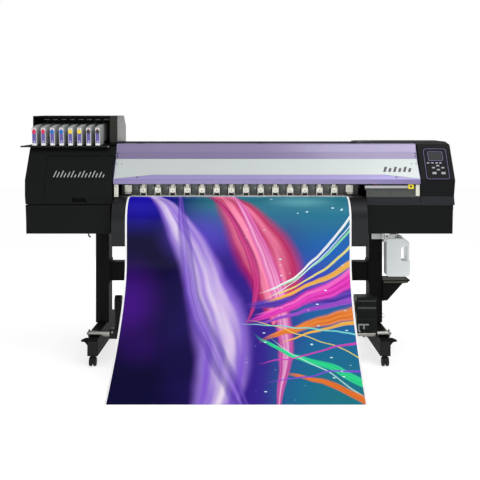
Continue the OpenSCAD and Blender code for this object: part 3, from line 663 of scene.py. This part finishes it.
def rear_details():
    s = Shape()
    for start in (-560, 60):
        # the vent slats take the lighter copy of the black: painted highlight
        for row in range(9):
            z = 1080 + 15 * row
            s.prism(0, (start, start + 480), [(REAR, z), (239.6, z - 3), (239.6, z), (REAR, z + 9)], "lip", 0.5)
        # a near-black sheet behind the vent slats: painted shade behind the vents
        s.box((start - 6, start + 486), (234.6, 235.8), (1070, 1214), "black_and_painted_shade", 0.3)
    rear = shift(0, REAR, 0) @ Matrix.Rotation(pi, 4, "Z") @ FACING
    screws(s, [(x, z) for x in (-725, -240, 240, 718) for z in (1030, 1300)], rear, "screw", 4)
    s.box((900, 1010), (233, 238), (980, 1050), "inner", 1.5)
    s.make("rear_vents", "frame")


front_cover()
left_covers()
right_covers()
lower_covers()
rear_details()


# -------- ink bay and cartridges
CART_INK = ("ink_red", "ink_red", "ink_blue", "ink_blue", "ink_yellow", "ink_yellow", "ink_black", "ink_black")
SHELF_TURN = radians(6.8)
CART_X = [-1229 + 53.4 * i for i in range(8)]


def cartridges():
    for i, ink in enumerate(CART_INK):
        place = shift(CART_X[i], -278, 1285.2) @ Matrix.Rotation(SHELF_TURN, 4, "X")
        s = Shape(place)
        side = [(0.8, 0), (0.8, 103), (4, 107), (94, 115), (280, 115), (280, 0)]
        s.prism(0, (0, 28), side, "cartridge", 1.6, 3)
        face = place @ shift(14, 0.8, 0) @ FACING
        label = [(-12, 2), (12, 2), (12, 92), *arc(0, 92, 12, 0, 180, 12), (-12, 92)]
        s.plaque([label], (0, 0.9), "white", 0.3, face)
        s.plaque([[(-10.6, 15), (10.6, 15), (10.6, 74), (-10.6, 74)]], (0.6, 1.2), "label_violet", 0.2, face)
        cap = [(-11.6, 76), (0, 70), (11.6, 76), (11.6, 86), (6, 96), (-6, 96), (-11.6, 86)]
        s.plaque([fillet(cap, 2, 3, closed=True)], (0.7, 1.8), ink, 0.4, face)
        s.disc((0, 98, 0.8), (0, 0, 1), 3.6, 0.8, "ink_red", 0.3, 16, face)
        for row in range(3):
            s.box((-5 + row, 5 - row), (20 + 4 * row, 22 + 4 * row), (1.1, 1.4), "white", 0.1, local=face)
        s.make(f"ink_cartridge_{i + 1}", f"cartridge_{i + 1}", "cartridge_body", [f"cartridge_{i + 1}"])


def bay_details():
    s = Shape()
    for x in CART_X:
        x += 14
        s.box(about(x, 19), (5.6, 8.5), (1447, 1456), "inner", 0.8)
        s.stud(x - 10, 5.8, 1451.5, 2.6, 1.2, "badge")
        s.box((x - 4, x + 14), (4.9, 6), (1450, 1453), "badge", 0.3)
    s.box((-1244, -786), (-188, -183), (1463.5, 1466), "dark", 0.8)
    slot_edge = incline((-278, 1284), (8, 1318.1))
    for x in CART_X:
        s.box((x + 30, x + 32.4), (98, 280), (12, 15), "dark", 0.5, local=slot_edge)
    s.box((-1298, -771), (-2.2, 0.2), (-8, 0.9), "dark", 0.4, local=slot_edge)
    s.stud(-778, 4, -3, 4.5, 6.5, "screw_grey", 1, 20, local=slot_edge)
    # a lighter plate over the bay's right end: painted light on that side
    s.box((-786, -739.6), (-185.2, -182.6), (1308, 1464), "bay_side_painted_light", 1.0)
    s.make("ink_bay_fittings", "frame")


cartridges()
bay_details()


# -------- control panel
KEY_PLACES = [(1105, 129.5), (1129.5, 129.5), (1155, 129.5), (1177, 129.5), (1132.4, 161.4), (1159.5, 147.8),
              (1159.5, 175), (1186.6, 161.4), (1134, 197), (1186, 197)]
KEY_SIZES = [(7, 4)] * 4 + [(9, 4.5)] * 4 + [(12, 7)] * 2


def control_panel():
    slope = shift(0, -237, 1294) @ Matrix.Rotation(atan2(210, 120), 4, "X")
    s = Shape(slope)
    outer = [(1084, -237), (1220, -237), (1220, -32), (1098, -32), (1084, -46)]
    edge = [(1088, -233), (1216, -233), (1216, -36), (1099.5, -36), (1088, -47.5)]
    s.plaque([fillet(outer, [16, 16, 16, 8, 8], 6, True), fillet(edge, [12, 12, 12, 7, 7], 6, True)],
             (0, 6.0), "rim", 1.2)
    holes = [rounded((x - w - 0.5, x + w + 0.5), (-y - h - 0.5, -y + h + 0.5), 1.5, 3)
             for (x, y), (w, h) in zip(KEY_PLACES, KEY_SIZES)]
    screen = rounded((1114, 1191), (-110, -58), 3, 4)
    inset = [(1087.4, -233.6), (1216.6, -233.6), (1216.6, -35.4), (1099.2, -35.4), (1087.4, -47.2)]
    s.plaque([fillet(inset, [12, 12, 12, 7, 7], 6, True), screen, *holes], (0, 5.0), "panel", 0.3)
    s.box((1112, 1193), (-112, -56), (0.2, 3.6), "glass", 0.5)
    s.plaque([rounded((1109, 1196), (-115, -53), 6, 4), rounded((1112, 1193), (-112, -56), 4, 4)],
             (4.6, 5.5), "rim", 0.3)
    s.make("control_panel_face", "frame", "panel_plastic", ["control_panel"])


control_panel()


# -------- pinch row and carriage
ARMS = [-583 + 88.5 * i for i in range(14)]
ARM_SIDE = [(11, 1036), (-150, 1008), (-158, 1001), (-193, 1001), (-195, 1012), (-195, 1030), (-178, 1053),
            (-150, 1053), (20, 1054)]


def pinch_row():
    cheek = fillet([(-196, 989), (-196, 1028), (-186, 1044), (-164, 1044), (-164, 989)], [0, 4, 5, 5, 0], 3)
    s = Shape()
    for x in ARMS:
        s.prism(0, about(x, 11), fillet(ARM_SIDE, 3, 3, closed=True), "cream", 1.5)
        s.prism(0, about(x, 5), [(-196.5, 1012), (-196.5, 1028), (-190, 1030), (-190, 1010)], "cream", 0.8)
        s.disc((x - 19, 20, 1045), (1, 0, 0), 11, 38, "cream", 1.5)
        for side in (-1, 1):
            s.prism(0, (x + side * 17 - 2, x + side * 17 + 2), cheek, "cream", 0.8)
        s.box(about(x, 19), (-195.5, -166), (1006, 1031), "cream", 2.5, 3)
        s.stud(x, -196, 1016, 4.2)
        s.tube([(x + 12, -160, 1052), (x + 12, -120, 1050), (x + 12, -60, 1052), (x + 12, 0, 1056)], 1.2,
               "screw_grey", 8)
    s.make("pinch_arm_set", "pinch_arms", "cream", ["pinch_arms"])

    s = Shape()
    for x in (-674, 660):
        s.box(about(x, 21), (-196, -166), (1004, 1050), "cream", 3, 3)
        s.box(about(x, 16), (-199, -195), (1010, 1034), "cream", 1.5)
        s.box((x - 14, x + 18), (-209, -194), (997, 1003), "cream", 1.2)
        s.stud(x + 8, -196, 1042, 3.2)
    for i, x in enumerate([*ARMS[:-1], -583 - 44]):
        middle = x + 44.2 if i < 13 else -628
        half = 20 if i < 13 else 14
        s.box(about(middle, half), (-172, -167), (990, 1053), "inner_plate", 1.0)
        s.box((middle - half + 5, middle + half - 9), (-176, -171), (1003, 1012), "inner", 0.8)
        s.stud(middle + half - 8, -172, 1030, 3.4, 2, "screw_grey", 0.6)
        s.box((middle - half + 4, middle - half + 8), (-175, -171), (1020, 1046), "inner", 0.8)
    s.box((-716, 716), (-160, -156), (989, 1050), "inner", 0.5)
    s.make("pinch_row_plates", "frame")

    s = Shape()
    s.box((-734, -709), (-341, -333), (986, 1060), "cream", 2, 3)
    s.stud(-722, -340.5, 1046, 3.5, 1.4)
    s.stud(-722, -340.5, 998, 3.5, 1.4)
    s.box((1024, 1047), (-341.5, -333.6), (992, 1059), "cream", 2, 3)
    s.box((728, 1000), (-338, -333.4), (1037, 1053), "light_bar", 1.2)
    s.box((728, 1020), (-337, -333.4), (1026, 1033), "inner", 0.8)
    s.plaque([rounded((979, 1013), (1033, 1060), 4)], (339, 341.5), "yellow", 0.6, front(0))
    s.plaque([arc(996, 1047, 6, 0, 345, 23)], (341, 342.6), "ink_black", 0.4, front(0))
    for x in (760, 880, 1010):
        s.stud(x, -333.2, 1008, 3.4, 1.6, "screw")
    # near-black fillers in the gaps beside the cover's ends: painted shade
    for x in ((-748, -732), (728, 745)):
        s.box(x, (-326, -323), (966, 990), "black_and_painted_shade", 0.4)
    s.make("front_edge_fittings", "frame")

    s = Shape()
    for i, ink in enumerate(CART_INK):
        x = 842 + 22 * i
        s.box(about(x, 8), (-176, -112), (1221, 1246), "inner", 2.5, 3)
        s.disc((x, -128, 1245), (0, 0, 1), 4.5, 7, ink, 1, 20)
        hose = [(x, -128, 1250), (x, -118, 1262), (x + 4, -90, 1266), (x + 12, -40, 1262), (x + 14, 10, 1240)]
        s.tube(hose, 2.2, "film", 8)
    s.make("carriage_dampers", "carriage")


# -------- stand, casters and take-up
SIDES = {"left": -858, "right": 846}


def stand_fittings():
    s = Shape()
    for name, x in SIDES.items():
        out = -1 if name == "left" else 1
        bolts = [(x - 24, 210), (x + 24, 210), (x - 24, 232), (x + 24, 232)]
        screws(s, bolts, front(-37), "screw", 4.5)
        screws(s, [(x - 18, 118), (x + 18, 118)], front(-350), "screw", 4)
        s.box(about(x, 27), (-351.8, -349.6), (66, 146), "dark", 1)
        s.box(about(x, 34), (-32, 78), (184, 190), "stand", 1.5)
        knob = x + out * 33
        s.disc((knob, -322, 132), (out, 0, 0), 6.5, 5, "screw", 1, 20)
    s.tube([(u, -6, v) for u, v in arc(894, 221, 12, 0, 360, 24)], 1.3, "screw_grey", 8)
    # a lighter grey plate over the tool tray's top
    s.box((892, 1046), (-54, 94), (434, 448.5), "tray_top_grey", 3, 3)
    s.make("stand_fittings", "frame")


def casters():
    hub = [(0, 0), (16, 0), (17.5, 0.3), (17.5, 0.9), (14, 1), (12, 0.5), (7, 0.5), (6, 1.8), (0, 2)]
    for corner in ("front_left", "front_right", "rear_left", "rear_right"):
        x = SIDES[corner.split("_")[1]]
        near = -1 if corner.startswith("front") else 1
        axle = near * 334
        hood = [*arc(axle, 27, 31, 10, 170, 20), *arc(axle, 27, 24, 170, 10, 20)]
        s = Shape()
        s.prism(0, about(x, 2.8), hood, "nylon", 0.6)
        s.disc((x, near * 318, 56), (0, 0, 1), 22, 4.6, "nylon", 1.2, 32)
        s.make(f"caster_hood_{corner}", f"caster_fork_{corner}", "caster_black")
        s = Shape()
        for side in (-1, 1):
            s.lathe((x + side * 20.4, axle, 27), (side, 0, 0), hub, "nylon", 32)
        s.make(f"caster_hubs_{corner}", f"caster_wheels_{corner}")


def take_up():
    s = Shape()
    bar = [(0, 0), (15, 0), (16.5, 1.5), (16.5, 1769), (15, 1770.5), (0, 1770.5)]
    s.lathe((-891, -278, 176), (1, 0, 0), bar, "chrome", 48)
    flange = [(0, 0), (24, 0), (24, 4.4), (22.6, 5.8), (10, 5.8), (9, 8), (8, 9), (8, 15), (6.8, 16), (0, 16)]
    for x, out in ((-889.2, -1), (877.2, 1)):
        s.lathe((x, -278, 176), (out, 0, 0), flange, "screw_grey", 40)
    blade = [(-300, 200), (-300, 365), *arc(-265, 365, 35, 180, 0, 14), (-230, 365), (-230, 200)]
    s.prism(0, (-740, -703), blade, "black", 3, 3)
    s.prism(0, (-703, -700), blade, "dark", 1)
    # a grey strip down the holder's front left edge: painted highlight
    s.box((-737, -734), (-303, -299), (215, 372), "inner", 0.8)
    s.box((-768, -700), (-305, -245), (149, 207), "dark", 4, 3)
    s.stud(-750, -304, 190, 7, 6, "screw_grey", 1, 6)
    hub = [(0, 0), (31, 0), (31, 3), (24.9, 5), (24.9, 32), (21, 37), (0, 37)]
    s.lathe((-701, -265, 330), (1, 0, 0), hub, "nylon", 40)
    s.make("take_up_holder", "frame", "pipe_metal", ["take_up_frame"])

    s = Shape()
    for z, key in ((378, "inner"), (341, "inner"), (334, "inner"), (272, "dark")):
        s.box((688, 794), (-332, -329), about(z, 2.5), key, 1)
    s.box((688, 752), (-337, -329.5), (236, 246), "screw_grey", 1.5)
    s.box((688, 698), (-337, -329.5), (206, 238), "screw_grey", 1.5)
    s.box((718, 728), (-337, -329.5), (214, 238), "screw_grey", 1.5)
    for x in (708, 741):
        s.stud(x, -330, 222, 7, 8, "dark", 1.5, 20)
    s.stud(698, -330, 202, 4.5, 6, "badge", 1)
    for x, z in ((690, 388), (792, 388), (792, 204)):
        s.stud(x, -330, z, 3.4, 1.6, "screw")
    s.make("drive_fittings", "frame")


def supply_arms():
    """The arms that carry the supply roll, with flanges and journals that run clear of its core."""
    arm = fillet([(110, 768), (190, 768), (330, 675), (336, 640), (326, 608), (290, 602), (262, 620)],
                 [0, 0, 14, 12, 10, 8, 8], 4, closed=True)
    s = Shape()
    for face, out in ((-696, -1), (676, 1)):
        s.prism(0, sorted((face, face + out * 10)), arm, "stand", 1.5)
        s.disc((face, 300, 640), (-out, 0, 0), 33, 4.5, "nylon", 1, 40)
        s.disc((face, 300, 640), (-out, 0, 0), 24.5, 36, "nylon", 1.5, 40)
        s.disc((face + out * 10, 300, 640), (out, 0, 0), 9, 3, "screw", 1, 24)
    s.make("supply_arms", "frame", "stand", ["supply_brackets"])


def waste_bottle():
    body = [(910, 482), (900, 494), (900, 712), (908, 720), (1007, 720), (1041, 690), (1041, 590), (1047, 578),
            (1047, 494), (1037, 482)]
    grip = [(990, 584), (990, 652), (1004, 668), (1025.5, 671), (1025.5, 580)]
    s = Shape()
    s.plaque([fillet(body, [14, 14, 12, 12, 18, 20, 10, 10, 14, 14], 5, True),
              fillet(grip, [9, 10, 8, 5, 5], 5, True)], (12, 108), "bottle", 6.8, front(0))
    s.disc((955, -60, 719), (0, 0, 1), 18, 13, "bottle", 0.5)
    cap = [(0, 9.4), (26, 9.4), (26, 20), (24.6, 21.8), (20, 22), (0, 22)]
    s.lathe((955, -60, 720), (0, 0, 1), cap, "white", 48)
    for k in range(24):
        a = radians(15 * k)
        rib = shift(955, -60, 0) @ Matrix.Rotation(a, 4, "Z")
        s.box((25.4, 26.9), (-1, 1), (730.5, 740), "white", 0.3, local=rib)
    for k in range(8):
        s.box((921, 931), (-108.8, -107.6), (510 + 22 * k, 511.6 + 22 * k), "bottle", 0.3)
    s.make("waste_ink_bottle", "waste_bottle", "bottle", ["waste_bottle"])

    s = Shape()
    s.box((884, 952), (-104, -99.6), (698, 742), "white_metal", 1.5)
    s.box((872, 890), (-104, -99.6), (712, 764), "white_metal", 1.5)
    s.stud(903, -104, 728, 5, 2.4, "ink_black", 0.6, 20)
    ring = [rounded((918, 944), (706, 736), 3), rounded((922, 940), (710, 732), 2)]
    s.plaque(ring, (104, 105.2), "badge", 0.3, front(0))
    s.tube([(1000, -118, 772), (1006, -118, 758), (1020, -118, 754), (1040, -118, 757), (1052, -118, 764)], 5,
           "cream")
    s.make("bottle_fittings", "frame")


pinch_row()
stand_fittings()
casters()
take_up()
supply_arms()
waste_bottle()


# -------- printed film
FILM_X = (-655, 635)
FILM_T = 0.5
COLUMNS = 20
BEND = 136.5


def film_path():
    """The film's underside, (depth, height), from the roll over the platen to the floor."""
    path = subdivided([(384.9, 674), (330.5, 790)], 30)
    path += arc(200, 855, 130.5, 0, 90, 16)
    path += subdivided([(200, 985.5), (-300, 985.5)], 60)[1:]
    path += arc(-300, 849, BEND, 90, 180, 24)[1:]
    path += subdivided([(-436.5, 849), (-436.5, 633)], 27)[1:]
    a, b, c, d = (Vector(p) for p in ((-436.5, 633), (-436.5, 400), (-780, 165), (-1040, 16)))
    for k in range(1, 49):
        t = k / 48
        path.append(tuple((1 - t) ** 3 * a + 3 * (1 - t) ** 2 * t * b + 3 * (1 - t) * t * t * c + t ** 3 * d))
    return path


class Print(Nodes):
    """Arithmetic on shader values, for the abstract picture on the film."""

    def calc(self, op, *values):
        made = self.node("Math", operation=op)
        for socket, value in zip(made.inputs, values):
            self.set(socket, value)
        return made.outputs[0]

    def times(self, a, b):
        return self.calc("MULTIPLY", a, b)

    def poly(self, x, *factors):
        """factors[0] + factors[1] x + factors[2] x^2 …"""
        out = factors[-1]
        for f in reversed(factors[:-1]):
            out = self.calc("MULTIPLY_ADD", x, out, f)
        return out

    def smooth(self, value, low, high):
        return self.node("MapRange", interpolation_type="SMOOTHSTEP", Value=value,
                         **{"From Min": low, "From Max": high}).outputs[0]

    def noise(self, x, y, sx, sy, detail=2):
        where = self.node("CombineXYZ", X=self.times(x, sx), Y=self.times(y, sy))
        return self.node("TexNoise", Vector=where.outputs[0], Scale=1, Detail=detail).outputs["Fac"]

    def spot(self, u, v, cu, cv, ru, rv):
        du = self.calc("DIVIDE", self.calc("SUBTRACT", u, cu), ru)
        dv = self.calc("DIVIDE", self.calc("SUBTRACT", v, cv), rv)
        far = self.calc("SQRT", self.calc("MULTIPLY_ADD", du, du, self.times(dv, dv)))
        return self.smooth(far, 1, 0)

    def band(self, offset, width, edge=0.5):
        return self.smooth(self.calc("ABSOLUTE", self.calc("DIVIDE", offset, width)), 1, edge)


# Ribbons fan out to the film's right edge: start across, heights at both ends, bend, widths, streaks, colour
RIBBONS = (
    (0.5, 0.52, 0.47, 1.0, 0.01, 0.075, 0.55, (74, 40, 170)),
    (0.52, 0.6, 0.4, 1.1, 0.012, 0.06, 0.5, (232, 44, 186)),
    (0.55, 0.56, 0.36, 1.5, 0.004, 0.014, 0.4, (250, 96, 200)),
    (0.6, 0.5, 0.33, 1.3, 0.006, 0.02, 0.5, (244, 176, 70)),
    (0.62, 0.47, 0.26, 1.5, 0.003, 0.01, 0.3, (236, 226, 120)),
    (0.58, 0.46, 0.13, 1.6, 0.004, 0.012, 0.3, (244, 250, 250)),
    (0.64, 0.44, 0.19, 1.4, 0.003, 0.009, 0.2, (140, 232, 170)),
    (0.6, 0.49, 0.17, 1.3, 0.002, 0.005, 0.2, (220, 240, 255)),
    (0.54, 0.62, 0.5, 0.9, 0.006, 0.018, 0.4, (150, 60, 200)),
    (0.58, 0.7, 0.56, 0.8, 0.01, 0.04, 0.6, (238, 122, 34)),
    (0.66, 0.72, 0.6, 0.7, 0.004, 0.012, 0.3, (250, 180, 60)),
    (0.56, 0.64, 0.9, 0.75, 0.008, 0.03, 0.5, (30, 222, 140)),
    (0.62, 0.66, 0.97, 0.9, 0.003, 0.006, 0.2, (180, 240, 235)),
    (0.52, 0.58, 0.78, 1.3, 0.002, 0.005, 0.2, (240, 220, 90)),
    (0.57, 0.8, 0.7, 1.6, 0.003, 0.008, 0.3, (214, 50, 190)),
    (0.68, 0.86, 0.98, 1.2, 0.008, 0.026, 0.6, (236, 110, 30)),
    (0.6, 0.9, 0.84, 1.5, 0.003, 0.007, 0.2, (120, 60, 220)),
    (0.48, 0.6, 0.66, 1.2, 0.002, 0.006, 0.2, (120, 226, 214)),
)


def film_print():
    n = Print("printed_film")
    uv = n.node("SeparateXYZ", Vector=n.node("UVMap", uv_map="print").outputs[0])
    u, v = uv.outputs[0], uv.outputs[1]
    drift = n.noise(u, v, 2.6, 1.7, 3)
    bent = n.calc("MULTIPLY_ADD", drift, 0.5, n.calc("SUBTRACT", u, 0.25))
    tone = n.mix((8, 5, 48), (52, 30, 138), n.smooth(bent, 0.12, 0.62))
    tone = n.mix(tone, (22, 92, 152), n.smooth(bent, 0.58, 0.86))
    tone = n.mix(tone, (28, 112, 128), n.times(n.smooth(v, 0.55, 1.0), n.smooth(u, 0.55, 0.9)))
    # grey-teal band across the film near the top bend: painted reflection of the bend's sheen
    top = n.times(n.smooth(v, 0.30, 0.06), n.smooth(u, 0.16, 0.42))
    tone = n.mix(tone, (46, 120, 132), n.times(top, 0.85))
    # the light teal streak at (0.78, 0.06) is a painted highlight along the top bend; the other spots are print
    for cu, cv, ru, rv, colour, much in (
            (0.06, 0.05, 0.30, 0.20, (30, 20, 170), 1.0), (0.03, 0.52, 0.20, 0.26, (66, 10, 130), 0.85),
            (0.10, 0.72, 0.16, 0.14, (40, 6, 92), 0.8), (0.34, 0.22, 0.24, 0.16, (88, 64, 200), 0.7),
            (0.30, 0.78, 0.16, 0.24, (14, 8, 60), 0.8), (0.82, 0.42, 0.26, 0.16, (70, 56, 180), 0.8),
            (0.78, 0.06, 0.20, 0.05, (110, 180, 190), 0.6), (0.98, 0.30, 0.30, 0.14, (36, 96, 190), 0.6)):
        tone = n.mix(tone, colour, n.times(n.spot(u, v, cu, cv, ru, rv), much))

    # broad soft waves with folds along them: centre and half width over the length, colours, folds, strength
    for centre, width, low, high, fold, much in (
            ((0.10, 0.86, -0.55), (0.030, 0.34, -0.26), (126, 84, 204), (240, 224, 240), 9, 0.96),
            ((0.23, 0.06, 0.22), (0.010, 0.10, -0.06), (64, 34, 150), (150, 110, 224), 12, 0.7),
            ((0.41, 1.00, -1.00), (0.045, 0.84, -1.46), (176, 8, 78), (255, 150, 184), 15, 0.97),
            ((0.47, 0.62, -0.42), (0.012, 0.12, -0.12), (196, 40, 150), (250, 190, 226), 10, 0.85),
            ((0.34, 1.10, -1.30), (0.006, 0.12, -0.20), (120, 10, 90), (240, 70, 150), 8, 0.85)):
        across = n.calc("MULTIPLY_ADD", drift, 0.1, n.calc("SUBTRACT", u, 0.05))
        off = n.calc("SUBTRACT", across, n.poly(v, *centre))
        wide = n.calc("MAXIMUM", n.poly(v, *width), 0.0004)
        open_here = n.times(n.smooth(wide, 0.001, 0.012), much)
        folds = n.noise(n.calc("DIVIDE", off, wide), v, fold / 4, 1.6, 1)
        inner = n.mix(low, high, n.times(n.band(off, wide, 0.0), n.smooth(folds, 0.25, 0.7)))
        tone = n.mix(tone, inner, n.times(n.band(off, wide, 0.55), open_here))
    for start, v0, v1, bend, w0, w1, streak, colour in RIBBONS:
        t = n.calc("MAXIMUM", n.calc("DIVIDE", n.calc("SUBTRACT", u, start), 1 - start), 0.0001)
        line = n.calc("MULTIPLY_ADD", n.calc("POWER", t, bend), v1 - v0, v0)
        off = n.calc("SUBTRACT", n.calc("MULTIPLY_ADD", drift, 0.12, n.calc("SUBTRACT", v, 0.06)), line)
        wide = n.poly(t, w0, w1 - w0)
        strand = n.noise(n.calc("DIVIDE", off, wide), t, 3.4, 1.4 + start, 3)
        body = n.times(n.band(off, wide, 0.45), n.smooth(strand, 0.5 - streak, 0.52 - streak / 3))
        body = n.times(body, n.smooth(t, 0.0, 0.22))
        shade = n.mix(tuple(0.84 * c for c in colour), tuple(c + 0.13 * (255 - c) for c in colour),
                      n.smooth(strand, 0.3, 0.7))
        tone = n.mix(tone, shade, body)
    where = n.node("CombineXYZ", X=n.times(u, 26), Y=n.times(v, 62))
    cells = n.node("TexVoronoi", Vector=where.outputs[0], Scale=1)
    chosen = n.node("SeparateXYZ", Vector=cells.outputs["Color"]).outputs[0]
    dots = n.times(n.smooth(cells.outputs["Distance"], 0.2, 0.12), n.smooth(chosen, 0.82, 0.84))
    tone = n.mix(tone, (206, 240, 246), n.times(dots, n.smooth(u, 0.5, 0.62)))
    inside = n.times(n.calc("LESS_THAN", n.calc("ABSOLUTE", n.calc("SUBTRACT", u, 0.5)), 0.492),
                    n.calc("GREATER_THAN", v, 0.0))
    n.finish("Base Color", n.mix((236, 236, 238), tone, inside))
    ripple = n.noise(u, v, 500, 500, 2)
    relief = n.node("Bump", Height=ripple, Strength=0.02, Distance=0.0003)
    n.finish("Normal", relief.outputs[0])
    n.finish("Roughness", 0.34)
    n.finish("Specular IOR Level", 0.06)
    return n.material


def film():
    path = film_path()
    xs = [FILM_X[0] + (FILM_X[1] - FILM_X[0]) * k / COLUMNS for k in range(COLUMNS + 1)]
    mesh = bmesh.new()
    layer = mesh.loops.layers.uv.new("print")
    walked = [0.0]
    for p, q in zip(path, path[1:]):
        walked.append(walked[-1] + (Vector(q) - Vector(p)).length)
    start = next(w for w, p in zip(walked, path) if p[1] > 985 and p[0] < -262)
    length = walked[-1] - start
    rows = {}
    for side in (0, 1):
        for i, p in enumerate(path):
            ahead = Vector(path[min(i + 1, len(path) - 1)]) - Vector(path[max(i - 1, 0)])
            out = Vector((ahead.y, -ahead.x)).normalized() * FILM_T * side
            drift = -10 * max(0, 1 - p[1] / 633) ** 2 if p[0] < 0 else 0
            y, z = p[0] + out.x, p[1] + out.y
            rows[side, i] = [mesh.verts.new(MACHINE @ Vector((x + drift, y, z))) for x in xs]
    place_of = {vert: (j / COLUMNS, (walked[i] - start) / length)
                for (side, i), row in rows.items() for j, vert in enumerate(row)}

    def quad(a, b, c, d, slot):
        face = mesh.faces.new((a, b, c, d))
        face.material_index = slot
        for loop in face.loops:
            loop[layer].uv = place_of[loop.vert]

    last = len(path) - 1
    for i in range(last):
        for j in range(COLUMNS):
            for side in (0, 1):
                r, s = rows[side, i], rows[side, i + 1]
                quad(r[j], r[j + 1], s[j + 1], s[j], side)
        for j in (0, COLUMNS):
            quad(rows[0, i][j], rows[1, i][j], rows[1, i + 1][j], rows[0, i + 1][j], 0)
    for i in (0, last):
        for j in range(COLUMNS):
            quad(rows[0, i][j], rows[0, i][j + 1], rows[1, i][j + 1], rows[1, i][j], 0)
    bmesh.ops.recalc_face_normals(mesh, faces=mesh.faces)
    data = bpy.data.meshes.new("media_film")
    mesh.to_mesh(data)
    mesh.free()
    data.materials.append(PAINT["film"])
    data.materials.append(film_print())
    piece = settle("media_film", data, "frame", ["media_web"], 60)


film()

# -------- stage
FOCAL_SHARE = 1.54375          # focal length over the picture's width
EYE = (0, -4658, 1260)
DROP = -0.1875                  # the frame sits lower than the eye line
SKY_SPREAD = 1.1                # radians
ROOM_LIGHT = 0.4
FLOOR_GLOW = 0.66


def camera():
    data = bpy.data.cameras.new("camera")
    data.sensor_width = 36
    data.lens = 36 * FOCAL_SHARE
    data.shift_y = DROP
    data.clip_end = 60
    cam = place("camera", data)
    cam.location = MACHINE @ Vector(EYE)
    cam.rotation_euler = (radians(90), 0, 0)
    bpy.context.scene.camera = cam


def lamp(name, where, towards, energy, size=None):
    """An area light of a width and height in metres or, without a size, the sun."""
    data = bpy.data.lights.new(name, "AREA" if size else "SUN")
    data.energy = energy
    if size:
        data.shape = "RECTANGLE"
        data.size, data.size_y = size
    else:
        data.angle = SKY_SPREAD
    light = place(name, data)
    where, towards = MACHINE @ Vector(where), MACHINE @ Vector(towards)
    light.location = where
    light.rotation_euler = (towards - where).to_track_quat("-Z", "Y").to_euler()


def studio():
    scene = bpy.context.scene
    scene.view_settings.view_transform = "Standard"
    world = scene.world = bpy.data.worlds.new("studio")
    world.use_nodes = True
    nodes = world.node_tree.nodes
    seen, room, path, either = nodes["Background"], *(
        nodes.new("ShaderNode" + kind) for kind in ("Background", "LightPath", "MixShader"))
    for white in (seen, room):
        white.inputs["Color"].default_value = (1, 1, 1, 1)
    room.inputs["Strength"].default_value = ROOM_LIGHT
    for given, taken in ((path.outputs["Is Camera Ray"], either.inputs[0]), (room.outputs[0], either.inputs[1]),
                         (seen.outputs[0], either.inputs[2]),
                         (either.outputs[0], nodes["World Output"].inputs["Surface"])):
        world.node_tree.links.new(given, taken)
    bpy.ops.mesh.primitive_plane_add(size=40, location=(0, 0, 0))
    floor = bpy.context.object
    floor.name = "floor"
    white = surface("floor_white", (190, 190, 190), 0.8, vary=0.0, bump=0.0, spec=0.1)
    glow = white.node_tree.nodes["Principled BSDF"].inputs
    glow["Emission Color"].default_value = (1, 1, 1, 1)
    glow["Emission Strength"].default_value = FLOOR_GLOW
    floor.data.materials.append(white)
    lamp("sky", (500, -2200, 4200), (0, 0, 0), 0.8)
    lamp("key", (1900, -2200, 4200), (500, -300, 1100), 46, (2.4, 1.6))
    lamp("row", (0, -345, 1052), (0, -170, 1010), 0.85, (1.36, 0.012))
    lamp("back", (0, 4200, 1150), (0, 200, 1000), 55, (3.2, 1.4))
    lamp("fill", (0, -4200, 700), (0, -300, 800), 36, (3.2, 1.0))


camera()
studio()
